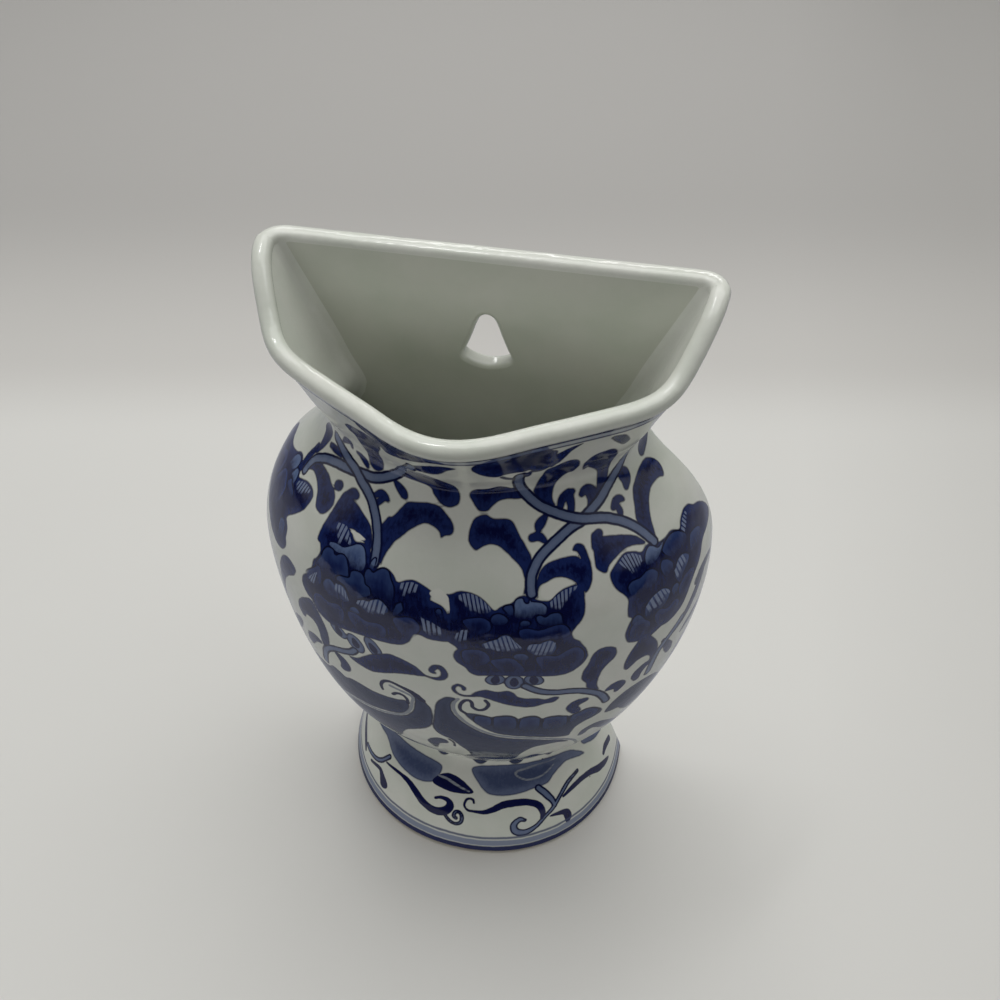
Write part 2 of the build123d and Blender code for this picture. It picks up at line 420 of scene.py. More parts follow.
def brush_distance(points, places, brushed):
    """Distance in mm from the points to a coat's nearest mark, negative inside.

    Also gives how far down that mark each point lies, 0 at its top and 1 at its foot."""
    result, down = np.full(len(points), FAR), np.zeros(len(points))
    for mark in brushed:
        is_patch = len(mark[0]) == 2
        line = smooth(mark, is_patch)
        at = on_wall(line[:, 0], line[:, 1])
        if is_patch:
            at = np.vstack([at, at[:1]])
            line = np.vstack([line, line[:1]])
            reach = FAR + PATCH_MARGIN
        else:
            reach = FAR + line[:, 2].max()
        near = np.flatnonzero(np.all((points > at.min(0) - reach) & (points < at.max(0) + reach), axis=1))
        if not len(near):
            continue
        p = points[near]
        best = np.full(len(near), np.inf)
        for k in range(len(at) - 1):
            along = at[k + 1] - at[k]
            t = np.clip((p - at[k]) @ along / max(along @ along, 1e-9), 0, 1)
            d = np.linalg.norm(p - at[k] - t[:, None] * along, axis=1)
            if not is_patch:
                d -= line[k, 2] + t * (line[k + 1, 2] - line[k, 2])
            best = np.minimum(best, d)
        if is_patch:
            x, z = places[near].T
            inside = np.zeros(len(near), bool)
            for k in range(len(line) - 1):
                (x0, z0), (x1, z1) = line[k], line[k + 1]
                if z0 != z1:
                    inside ^= ((z0 > z) != (z1 > z)) & (x < (x1 - x0) * (z - z0) / (z1 - z0) + x0)
            best = np.where(inside, -best, best)
        closer = best < result[near]
        result[near[closer]] = best[closer]
        if is_patch:
            down[near[closer]] = ((line[:, 1].max() - z) / np.ptp(line[:, 1]))[closer]
    return np.clip(result, -FAR, FAR), np.clip(down, 0, 1)


print("distances are kept up to", FAR, "mm")


# %% [markdown]
# The stripes in a petal's tip are too fine for such distances. They fan out between a line
# of tops and a line of feet, so each point instead keeps how many stripes it has passed,
# and how far down the stripe it lies. Both change slowly, so the grid can hold them.

# %% Where each point lies among the stripes of a petal's tip
NARROWEST = 0.2
PAST_THE_FEET = 1.2


def stripes_at(points, places, tips):
    """For striped petal tips: distance, place across the stripes and share down them."""
    nearest, count, down = np.full(len(points), FAR), np.zeros(len(points)), np.ones(len(points))
    for tops, feet in tips:
        tops, feet = np.array(tops), np.array(feet)
        first, last = tops[:1] - (tops[1:2] - tops[:1]) / 2, tops[-1:] + (tops[-1:] - tops[-2:-1]) / 2
        low_last, low_first = feet[-1:] + (feet[-1:] - feet[-2:-1]) / 2, feet[:1] - (feet[1:2] - feet[:1]) / 2
        outline = np.vstack([first, tops, last, low_last, feet[::-1], low_first])
        distance = brush_distance(points, places, [outline])[0]
        here = np.flatnonzero(distance < nearest)
        nearest[here] = distance[here]
        rib = (feet - tops)[:, None]
        off = places[here][None] - tops[:, None]
        side = (rib[..., 0] * off[..., 1] - rib[..., 1] * off[..., 0]) / np.linalg.norm(rib, axis=2)
        gap = np.maximum(side[:-1] - side[1:], NARROWEST)
        steps = np.clip(side[:-1] / gap, 0, 1).sum(0)
        steps += np.minimum(side[0] / gap[0], 0) + np.maximum(side[-1] / gap[-1], 0)
        rib_at = np.clip(np.round(steps).astype(int), 0, len(tops) - 1)
        count[here] = steps
        down[here] = (np.sum(off * rib, axis=2) / np.sum(rib * rib, axis=2))[rib_at, np.arange(len(here))]
    return nearest, count, np.clip(down, 0, PAST_THE_FEET)


print("narrowest gap between stripes:", NARROWEST, "mm")


# %% [markdown]
# ## Stems
# Each peony hangs from a stem that springs from the neck: a pale blue core between two
# dark edges. They are laid down as single long strokes.

# %% Stems
stems = marks("""
1.5: -62 158, -55 156.6, -50 155.9, -45 155.2, -40 154, -35 152.8, -31 151.2, -28 149.3, -25.5 147, -24 144.5,
-23.2 142, -23 140;
1.5: 24.5 167, 24.3 165, 24.8 162.5, 26.3 160, 29 157.8, 32 156, 36 154.5, 40 153.2, 45 151.8, 50 150.8,
55 150, 59 148.7, 62.5 147, 65.5 144.5, 67.3 142, 68 140.7;
1.35: -30 104.5, -32 102.5, -35 101, -39 99.3, -42 97.3, -44 95, -45.3 92, -46.5 88;
1.4: 22.5 104.5, 25 102.8, 28 101.4, 32 100.6, 36 100.3, 39.5 99.4, 43 97.6, 46 95.3, 48 92.5, 49 90.5;
1.4: 74 112, 70 108.5, 67 106, 65 103, 64 99, 63.5 95""")
crossing_stems = marks("""
1.5: -68 146, -68.5 147.5, -67.5 149.5, -64 151.2, -60 152.5, -55 153.5, -50 154.2, -46 154.7, -40 155.5,
-35 156, -30 157.4, -25 159.5, -22 161.5, -20 163.3, -17 165.5, -14 168, -13 169;
1.5: 25 138, 25.2 140.5, 26.2 143, 28.5 145.3, 31 146.8, 35 148.3, 40 149.8, 44 150.6, 47 151, 52 152.3,
57 153.5, 62 155.3, 66 156.6, 70 158.2, 73 160.2, 75 162.5""")
print(len(stems), "stems and", len(crossing_stems), "that cross behind them")

# %% [markdown]
# ## Dark leaves and buds
# The leaves curl round the flowers. They are flooded with strong cobalt, so they fire
# nearly black at the edges. Small comma buds sit on the stems.

# %% Buds and comma leaves
buds = marks("""
-32 153 .8, -29.5 153.9 1.1, -27 153.6 .9, -25.6 153.2 .5;
-25.5 157.5 .5, -23 156.7 1.1, -20.5 155.8 1.2, -19.3 155.2 .7;
-56.5 158.8 .5, -53.5 160.2 1.1, -51 160.8 1.1, -50 159.5 .7;
-46.5 159 .5, -44 158.8 .8, -41 158 .9, -39.3 157.2 .5;
-49.2 150.3 1.4, -48.4 150.4 1.5;
-42.8 150 1.2, -41 151 1.5, -39.3 151 1.2;
34 153.3 .9, 31.8 152.2 1.3, 31 151.5 1;
28.3 149.9 1.1, 30.5 150 1.2, 32.3 149 .7;
40.6 154.6 .9, 42 156 1.2, 44.4 156.7 1.3, 46.4 156.9 .9;
50 155.8 .9, 52 156.4 1.3, 54.4 156 1.2, 55.8 154.8 .9;
60.5 150.7 .9, 62.5 151.5 1.2, 64.7 151.6 1.1, 66 151 .6;
69 157 .9, 70.8 155.5 1.9, 71.5 154.3 1.9, 70 152.8 1.1;
49.5 146.8 1.2, 51 147.6 1.3;
18.3 168 .5, 20 166.9 .6, 22.5 166.2 .6, 23.5 167.5 .5;
25.8 168 .6, 27.2 166.8 .9, 28 168 .6;
36.3 172.2 1.3, 38.5 173 1.2, 41 174.3 .8, 44.3 175.5 .25;
35.5 169 .6, 37.5 170.6 .9, 40 173 .6;
44.8 156 1.3, 44.8 154.4 1.1, 43.8 152.9 1;
53 155.8 1.2, 53.2 154.2 1.1, 52.2 152.9 1;
50 152.1 .7, 55 153.6 1, 60 155.6 .8;
62.2 151 .8, 62.4 149.5 1, 61.2 148.4 .8;
-27.6 153.6 .9, -29.2 152.4 1, -30.6 151 .8;
-71.8 151 1.1, -72 147.8 1.4, -70.6 145.4 1.2;
-64 154.8 .8, -59.5 155.3 1.1, -55 155.3 .7;
-22.6 150 .9, -23.6 147.6 1.2, -23.4 145 1;
49.6 147.4 1.2, 48.4 145.6 1.3""")
print(len(buds), "buds and comma leaves")

# %% Leaves on the neck and the two half-hidden blossoms above them
neck_leaves = marks("""
-23 160, -19 162.8, -14 165.7, -10 166.6, -6 166.2, -2.5 164.6, .2 162.8, 2 160.5, 2.6 157.5, 1.5 156.2,
-2 155.5, -5 156, -8 157.6, -9.5 159.2, -12 159.8, -17 159.9;
-14 168.3, -10 168, -5 168.6, -1.5 170.3, 1 172.5, 4 174, 1 174.7, -3 174, -8 172, -12 170;
-39.3 168.3, -39.6 163, -39.2 158.8, -36 157.6, -32 158.4, -30.8 161.5, -29.5 166, -26.5 169.5, -26 172,
-30 173, -35 172.8, -40 172.3, -43 170.8, -41.5 169.3;
-27 172.5, -24 169.8, -20 170, -16 171, -10 173, -3 175.5, 1 176.6, -3 178, -10 178.2, -18 177.6, -24 177,
-30 176.8, -34 177.5, -34 175, -31 173.6;
8.5 173.5, 9.5 175.5, 12 176.5, 16 178.2, 20 180.2, 22.5 181.5, 26 181, 29.5 179.8, 32 178, 34 176,
36.3 174.8, 36.3 172.8, 36.6 170.5, 34.8 168.6, 32 167.6, 29 167.8, 27.8 169, 26 168.7, 22.5 169, 19.5 169,
16.5 168.4, 13 169.4, 10 171.3;
33.8 167.5, 36.5 168.3, 39 169.2, 42 169.6, 44.5 169.2, 46.3 167.6, 46.6 165.5, 45.3 163.8, 43.3 163.5,
41.5 162.3, 39.8 160.3, 38.5 158, 38.3 156.2, 39 154.8, 36 155.2, 33 156.8, 30.6 158.8, 31.5 161, 32.5 164;
48.3 166, 49.5 168, 52 169.4, 55 169.6, 58 169.5, 61.5 167, 63.5 163, 63.5 159, 62 156, 58.5 155, 55.8 154.8,
57.3 157, 57.6 159.5, 56 161.2, 53 162.8, 51.3 163.6, 49.7 163;
6 158.8, 6.8 160.4, 9 161.4, 11.5 161.5, 14 161.8, 17 162.6, 20 162, 22 161.2, 24 161, 26.5 158.8, 28 157.5,
26.5 157.7, 24 157.6, 21 157.8, 17.5 157.5, 15 156.5, 13 155.4, 10 155.4, 8 156.5""")
print(len(neck_leaves), "leaves on the neck")

# %% Leaves on the shoulder
shoulder_leaves = marks("""
-23.8 149.2, -21.5 151.3, -20 153, -18 154.5, -14 155.2, -9 155.7, -5 155.5, -2 154.2, .5 152.8, 1.3 151.3,
.3 150.3, -1.5 150, -3 149.4, -4 150.5, -6.5 151.3, -9.5 151.5, -13 150.2, -15.5 148.5, -18 146.5,
-19.3 144.5, -20.3 142, -20.6 140.2, -22 140.5, -22.5 143, -23 146;
6.5 149.5, 6.5 151.5, 7.5 153.3, 9.5 154.5, 12.5 154.8, 15 154.1, 18 154, 21 153.8, 23 152.6, 24.2 150.6,
25.5 149, 26.7 147, 26.8 145.8, 25.6 143, 24.3 140, 23.3 138.2, 22.5 138, 23.3 140.5, 23.4 142.5, 22.8 144.3,
21 146, 19 147.5, 16.5 148.8, 13.5 149.1, 11 148.5, 9.3 147.8, 7.8 148.3;
-45 150, -43 150.4, -40 150.1, -37 149.8, -33.5 149, -30 148, -28 147, -26.3 145.5, -25.3 143.5, -25.5 141,
-28 143.2, -31 144.2, -34 144.9, -37 144, -40 142, -42 138, -45 138, -45.2 142, -45.3 146;
26.8 141, 28.5 143.2, 31 144.6, 34 145.1, 38 145.3, 41 145, 42.2 144.2, 41.5 145.6, 40.3 146.2, 42 147.2,
44 147, 44.9 146, 44.8 143, 44.3 141, 43.5 139, 42 137.2, 40.5 136.3, 39.5 137.5, 38.3 139.3, 36 140.8,
33 141.3, 30 140.6, 28 139.9, 27 138.5, 26.6 136.8, 25.8 138;
45.7 141.5, 46.3 143.5, 47.2 145.3, 48.5 146.6, 52 146.9, 56 146.2, 60 145.2, 63 144, 65 142, 64 141.6,
60 142.6, 56 142.6, 52 141.6, 50 140.9, 48.5 139.6, 46.8 140.2;
66.3 146.2, 69 148.8, 72 151.3, 76 152.6, 81 153.4, 86 153.4, 90 152.3, 93 150.4, 93.5 148.8, 92 147.6,
90 147.2, 88 147.9, 85 148.4, 81 148.6, 77 147.8, 74 146.3, 71.5 144.3, 70 142, 69.3 140.7, 68.2 141.5,
68 143.5;
-70 149, -66 150.2, -61 150.6, -56 150.4, -52 149.6, -49 149, -47 148, -45.8 146.3, -47 144, -49 143.2,
-52 143.6, -54 145, -56 146.3, -59 147.3, -63 147.8, -66 147.2, -68 145.5, -69.5 146;
-76 155.5, -73.5 154.8, -71.5 152, -70.3 150, -69 150.5, -67.3 153, -66 155.5, -66 157.5, -69 158.6,
-73 157.5""")
print(len(shoulder_leaves), "leaves on the shoulder")

# %% [markdown]
# ## Peonies
# Each flower is one dark mass with a scalloped outline. Paler petals overlap on it in five
# turns, the dimmest low down and the palest at the back. White stripes are left in the
# petals' tips.

# %% Bodies of the peonies
peonies = marks("""
-45 143, -44.8 140, -43.5 137.5, -42.4 135.6, -43 133.5, -44.3 131.5, -44.6 128.5, -46 126, -48 124,
-48.8 121, -48 118.5, -46.5 116.8, -45 116.3, -43 113, -40 111.3, -37 111, -32 112, -26 113, -19 113.8,
-16 114.2, -13 115.2, -11 117, -10 119, -9.3 120.6, -7.5 121, -5 120.1, -2 120.1, 2 120.5, 4 119.5, 7 122,
5 128, 1.2 130.3, .5 131.5, -1 133, -3.5 134, -4.3 134.5, -3.8 136.5, -5 137.5, -9 138.8, -12 138.4,
-14.5 137.2, -16 138.8, -19 140, -22 139, -23 140, -26 142.8, -29 143.4, -31.5 143, -34.5 144.5, -40 145.4;
0 136.3, 1.5 137, 4 138.2, 7 138.2, 9.5 137.5, 11.5 136.2, 13 134.5, 14.2 133.6, 15.5 134.5, 17 135.3,
19 135.9, 20.5 137.2, 22.5 137.8, 25 137.3, 26.5 136.4, 28.5 136, 30 136, 32 137.5, 34.5 138.5, 38 139,
40.2 138, 40 134.5, 39.6 132, 38.8 129.5, 37.5 127.8, 36 126, 35.2 124.5, 35.8 122.8, 37.3 121.5, 38.5 119.5,
39.5 117.5, 40 115, 39.3 112.8, 37.8 110.8, 35.5 109, 33 108.2, 29 108.2, 24 108.6, 17 108.8, 11 108.3,
8.5 108, 6.5 109, 5.3 110.7, 4 111.8, 2.6 113, 1.9 115, 2.2 117, 3 118.6, 0 121, -2 124, -1 129, 1 131;
49 138.5, 50.5 140, 54 141.6, 57 142.2, 60 141.4, 62 140.6, 64 141.1, 66.5 141.1, 69 140.2, 72 139.9, 76 140,
79.5 138.6, 82 139.6, 86 140.3, 90 139.6, 92.5 138, 96 136.6, 99 134.5, 101 132, 101 129.7, 95 129.6,
90 129.9, 87 129.2, 84 127, 80 125, 78 124, 76 121.5, 74 119, 71 116.5, 67 115.2, 64 115.4, 61 114.2, 57 114,
53 115, 51.3 117, 51 119.5, 52 122.5, 53 124.3, 51.8 125.5, 52 128, 52.5 131, 51 133.3, 49.3 135.5;
-101 141, -90 142.3, -84 143.5, -80 144.9, -78.5 145.8, -75.5 146.4, -73 146.1, -71 145, -69 144.7, -68 144.1,
-66.5 144.4, -63.5 145.4, -60 145.8, -57 145.4, -55.5 144.5, -55.2 143, -55.5 141.3, -57 139.3, -58.8 137.7,
-60.5 136.3, -61.2 135, -60.3 134.2, -59 133, -58.6 131.5, -58.5 130, -57.8 128.5, -58.3 126.5, -60.5 124.6,
-64 124, -70 125.5, -78 129, -88 132, -101 132.5""")
print(len(peonies), "dark masses")

# %% The palest petals, at the back
palest_petals = marks("""
-33 141.3, -31.3 142.5, -29.2 143, -27.3 142.5, -26.2 141.2, -25.4 139.5, -25.2 137.8, -26.3 136.2,
-28.5 135.6, -30.5 135.6, -31.5 137, -33 138, -36.5 137.8, -40 138.4, -40.3 139.7, -37.5 140.4, -35 140.4;
-24.4 138, -24.6 139.5, -23.6 141.3, -22.4 141.5, -22.2 139.5, -22.6 138;
19.3 135.2, 20 136.7, 21.5 137.3, 22.6 137.1, 23 136, 23.6 135.8, 24 137, 25 136.2, 26.5 136, 28 135.5,
29 134.4, 29 133, 28.3 131.6, 27 131.6, 25.5 131.8, 24.5 130.6, 22.5 130.5, 20.5 130.6, 19.2 131.5;
61.5 138.3, 62.3 139.6, 64 140.6, 65.8 140.8, 67.2 140.2, 68.5 139.3, 70.5 139.8, 71.8 139.6, 69.5 138.2,
67 137, 64 136.4, 61.5 136.9;
-79.3 144.3, -78 145.5, -75.5 146, -73.3 145.6, -72.4 144.6, -72.8 143, -76 141.8, -79 142.3;
-72.6 144.2, -71 144.7, -69.3 144.4, -67.9 143.3, -67.4 141.8, -68.5 141.3, -71 142, -72.8 141.9;
26.5 176.3, 27.3 177.8, 29.5 178.3, 31.2 177.4, 31 176.2, 28.6 175.7""")
print(len(palest_petals), "pale petals")

# %% Dim petals low in the flowers
deep_petals = marks("""
4 117.5, 6.5 119, 9.5 119.2, 12 117.8, 12.5 114.5, 9 111, 5 112;
24.5 116.3, 28 117.4, 31 117, 34 119, 37 119.4, 39 117, 38.8 113, 35 109.8, 28 110;
12 114.5, 15 116.4, 18.3 116.6, 20.5 115, 22.5 111, 17 109;
20 126.8, 22.5 128, 26 127.2, 29 128, 32 128.6, 34.3 127.4, 34.8 124, 30 122.4, 22 122.6;
4.5 129, 8 130.8, 11 131, 13 129.3, 12.5 126, 8 124.5;
-44 129.5, -42 131.4, -40.2 130, -39.8 126, -42 122, -45.5 123, -47 126;
-16 124.2, -13 126.4, -9.5 127, -7.2 125, -7.6 121.8, -12 118;
-31 120.4, -27.5 121.6, -24 120.4, -20 121.2, -17.5 119.5, -19 115.4, -28 114.6;
-44 119.5, -41 121.6, -37.5 120.6, -34 121.8, -31.5 119.4, -33 114, -39 112.6, -44 115;
52.4 121, 55 123, 58.5 121.6, 60 118.6, 57 115.4, 52.6 117;
60.5 121, 63 123, 66 121.8, 69.5 122.8, 71.5 120.5, 69 116.6, 63 115.8;
70.5 125, 74 127.6, 78 127.8, 80 126, 76 121.5, 72 120.5;
-100 139.5, -95 141, -90 139.6, -86 141.4, -81 140.8, -80 137, -86 134, -98 134;
-79 140, -76 141.4, -72 140.6, -69 138.4, -70 133, -76 131, -80 134""")
print(len(deep_petals), "dim petals")

# %% Petals behind, in the middle and in front
rear_petals = marks("""
8 89.8, 11 89.9, 13 89.3, 13.2 85.5, 9.5 84, 7.2 87;
13.4 89.4, 15.5 90.3, 18 90.6, 20 89.9, 21 88.8, 21 84, 17 82.6, 13.6 84;
21.6 88.9, 23 89.7, 25 90.2, 27 89.7, 28.4 88.4, 28.2 83, 24.6 82, 21.6 83.5;
29 88.3, 30.5 88.9, 33 89, 35.5 88.3, 37 87.6, 37.4 82.4, 33 81, 29 82.6;
37.8 87.6, 40 88.5, 43 89.5, 46 88.5, 47.8 86.6, 46.8 83.4, 42 81.8, 38 83;
-42 134.5, -41.8 136.2, -40.8 137.9, -39 138.5, -37.5 138.3, -36.6 137.4, -35.5 138.3, -34 138.7, -32.2 138.1,
-31 136.6, -30.3 134.8, -30.3 132.6, -34 131, -36 128.6, -40 128, -42.6 128.5, -43.3 131.5;
-25.7 136.2, -25.2 137.8, -23.8 138.3, -22.7 137.7, -21.8 138.7, -20.3 139.7, -18.6 139.9, -17.2 139.1,
-16.4 137.5, -15.4 136, -14.9 134, -15 131.5, -15.8 128.8, -20 129.3, -24 130, -25.2 132.5;
16.1 134, 16.7 135, 18 135.5, 19.4 135.5, 19.8 134, 19.6 132.3, 18.8 131.2, 17.3 132.3;
12.5 131, 13.5 132.3, 15.3 132.8, 17 132.2, 18 131, 17.8 129.5, 16 128.3, 13.8 128.2, 12.6 129.5;
-15.2 129.5, -13.8 131.2, -12.6 131.7, -12.1 130.3, -12 128.5, -14 126, -16 124.8;
68.5 137.8, 70.5 139, 73.5 139.7, 76.5 139.5, 78.8 138.7, 80.5 137.5, 81.5 136, 80 134.5, 76 134, 72.5 134.3,
70 135.5;
-71.8 141, -71 142.1, -69.8 142.3, -68.3 141.7, -66 141.5, -64 140.9, -63.8 139.5, -66 139, -69 139.5,
-71.3 140;
53 134, 55 135.6, 58 135.5, 61 136.2, 63.5 135.8, 65 134, 63 131.5, 58 130.5, 54 131;
65.5 134.5, 67.5 136.3, 70 135.4, 71.5 133.5, 70 131.5, 66.5 131;
81.5 134.8, 84 135.4, 88 134.6, 90 132.8, 87 130.8, 82 130.6, 79.5 131.8;
13 174.5, 15 176, 18 177.6, 21 177.8, 21.8 176, 19 174.2, 15.5 173.4;
-3 131.5, -2 132.3, -.8 131.8, -.6 130.2, -2 129.6, -3.2 130.3""")
middle_petals = marks("""
-30.4 133.3, -30.3 135, -29.3 135.9, -27.5 136.3, -26 136.1, -24.8 135, -24.3 133.4, -22.9 132.9, -22.2 131.3,
-22.3 130, -23.5 129, -25.5 127.6, -27 126.4, -27.9 125.3, -28.9 125.2, -29.8 126.5, -30.6 128.2, -31.8 129.4,
-33.5 129.7, -34.9 130, -34.8 131.4, -33.4 132.5, -31.6 132.8;
25 131, 25.8 132, 27 132.1, 28 131.4, 28.8 131.9, 30 132.4, 32 132.4, 33 131.4, 33.2 129.5, 32.8 128,
30 127.6, 27.5 128, 25.6 129.1;
20.5 129.5, 21.3 130.6, 22.7 130.7, 23.9 130, 24 128.8, 22.5 128, 20.8 128.2;
53.2 124, 54.5 125, 56.2 124.6, 57.5 122.8, 58.5 120.8, 56 120.3, 53.3 121, 52.7 122.5;
-65 132.5, -63.5 134, -61.5 133.9, -60.3 132.5, -60 130, -59.6 128, -61.5 126.5, -64 127.5;
67.5 126, 68.4 127.5, 70.3 127.9, 71.6 126.8, 70.8 124.6, 68.5 123.8""")
front_petals = marks("""
-39.8 125.5, -39.6 127.3, -38.5 128.9, -37 129.5, -35.6 129, -34.8 128.5, -33.8 129.5, -32.2 129.6,
-30.8 128.6, -29.8 126.8, -29.3 125, -30.5 123.6, -33 123, -36 122.8, -38.7 123.6;
-27.6 124.9, -27.2 126.1, -26 127.4, -24.6 128.1, -23.3 128.2, -22 129.4, -20.4 130.3, -18.7 130, -17.3 128.9,
-16.4 127.5, -16.6 126, -18.5 124.8, -21 123.7, -24 123.5;
-30.2 121.3, -29.5 123.2, -27.7 124, -26.2 123.2, -25.8 121.7, -27.5 120.8, -29 120.6;
9.5 121.4, 11 122.4, 12.5 123.3, 14 123.9, 15 125, 16.2 125.7, 17.8 125.5, 19 124.4, 20 122.9, 21.2 121.5,
21.8 120, 20.5 118.8, 18.5 118.2, 16 118.4, 13 119, 10.5 119.5;
22 120.2, 22.7 121.8, 24.5 122.4, 26 122.3, 27.2 123, 28.8 123.4, 30.2 122.9, 31.1 121.3, 31.1 119.5,
30 117.4, 28 116.2, 25.8 116.4, 24 117.6, 22.5 118.8;
18.4 117.2, 19.3 118.3, 21 118.7, 22.5 118.2, 23.5 117, 23.3 115.7, 21.5 115.1, 19.4 115.4;
57.1 124.6, 57.8 126.7, 60 128.4, 62.5 129.1, 65 129.2, 66.5 128.4, 67.8 126.8, 67 125, 65 123, 62 121.6,
59 121, 57.5 122.5;
70 130.3, 71.5 132.4, 73.5 133.5, 76 133.7, 78 132.7, 79 131.3, 77 129.6, 74 128, 72 126, 70.3 127.8""")
print(len(rear_petals), "petals behind,", len(middle_petals), "in the middle,", len(front_petals), "in front")

# %% Striped petal tips, as a line of tops and a line of feet
tops_and_feet = marks("""
-39.8 144.6, -38.2 144.8, -36.6 144.8, -34.9 143.9, -33.5 142.9;
-39.6 142.8, -38 141.4, -36.9 139.8, -34.8 141.6, -33 141.4;
-12.9 137.4, -11.4 137.9, -10 138.1, -8.6 137.9;
-13.4 134.7, -12.5 132.9, -10.9 134.5, -9.3 135.3;
-6.5 127.5, -5 127.2, -3.4 126.6, -1.9 125.7;
-5.8 122, -4.6 121.8, -3.1 121.7, -1.6 122;
4.2 137.2, 5.4 137.7, 6.6 137.8, 7.9 137.7, 9.1 137.4, 10.3 136.8, 11.5 135.8, 12.5 134.7;
4.6 135.2, 6.2 133.6, 7.5 132, 8.8 131.6, 9.9 131.9, 11 132.1, 12 132.4, 12.9 132.9;
30.2 135.6, 31.4 136.6, 32.6 137.3, 33.8 137.9, 35.1 138.2, 36.6 138.5, 38 138.5;
30.2 133, 31.2 132.8, 32.3 132.8, 33.3 133.8, 34.4 134.8, 35.9 136.2, 37.2 137.2;
3.4 124.6, 4.7 125.8, 5.9 126;
2.7 121.4, 3.7 121, 5.2 121;
53.6 140.9, 54.8 141.4, 56.1 141.7, 57.4 141.6, 58.7 141.3, 59.8 140.8, 60.8 140.1;
55 138.4, 56 137.2, 57 136.7, 57.9 136.6, 58.8 137, 59.7 137.6, 60.5 138.4;
80.6 138.3, 81.9 138.9, 83.2 139.4, 84.6 139.6, 86 139.7;
81.5 136.9, 82.8 137.2, 84 137.6, 85.2 138, 86.6 138.6;
-66 143.8, -64.7 144.5, -63.2 144.9, -61.8 145.1, -60.3 145.2, -58.9 145.1;
-65.8 142.1, -64.2 142, -62.7 142, -61.4 142.5, -60 143.2, -58.7 144;
-34.3 128.9, -33.2 129, -32.1 128.8, -31 127.8, -30.2 126.4;
-34.6 125.6, -33.2 125, -31.8 124.7, -30.8 124.4, -29.8 124.4;
-26.3 126.8, -24.9 127.6, -23.5 127.7, -22.1 128.8, -20.7 129.6, -19.2 129.6, -17.8 128.6;
-27 124.9, -25.9 124.4, -24.7 124, -23.5 123.6, -22.1 123.6, -20.3 124.2, -18.7 124.9;
11 121.8, 12.4 122.7, 13.8 123.4, 15 124.3, 16.2 125, 17.5 124.9, 18.7 123.8, 19.8 122.4;
11.8 119.5, 13.2 119.3, 14.8 119.1, 16.2 118.9, 17.6 118.8, 19 118.8, 20.2 119.3, 21.2 120;
23.6 121.6, 25 121.9, 26.3 121.8, 27.7 122.5, 29 122.8, 30.2 122;
22.9 119.4, 23.9 118.6, 25 117.6, 26.1 117.1, 27.3 117, 28.8 117.4;
58.5 126.6, 60 127.8, 61.6 128.5, 63.2 128.7, 64.8 128.6, 66.2 127.8;
59.6 123.6, 61.6 123.4, 63.4 123.9, 64.9 124.6, 66 125.4, 67 126;
71 131.5, 72.5 132.5, 74 133.1, 75.5 133.2;
71.6 128.6, 73.2 128.8, 74.8 129.6, 76.2 130.4;
-43.8 127, -43 127.8, -42.2 128.4;
-45.6 123.8, -44.6 123.4, -43.6 123.4""")
striped_tips = list(zip(tops_and_feet[::2], tops_and_feet[1::2]))
print(len(striped_tips), "striped tips")

# %% [markdown]
# ## Leaves and curls below the flowers
# Small curled leaves fill the ground under each peony. Three short looped petals hang
# from the two front flowers.

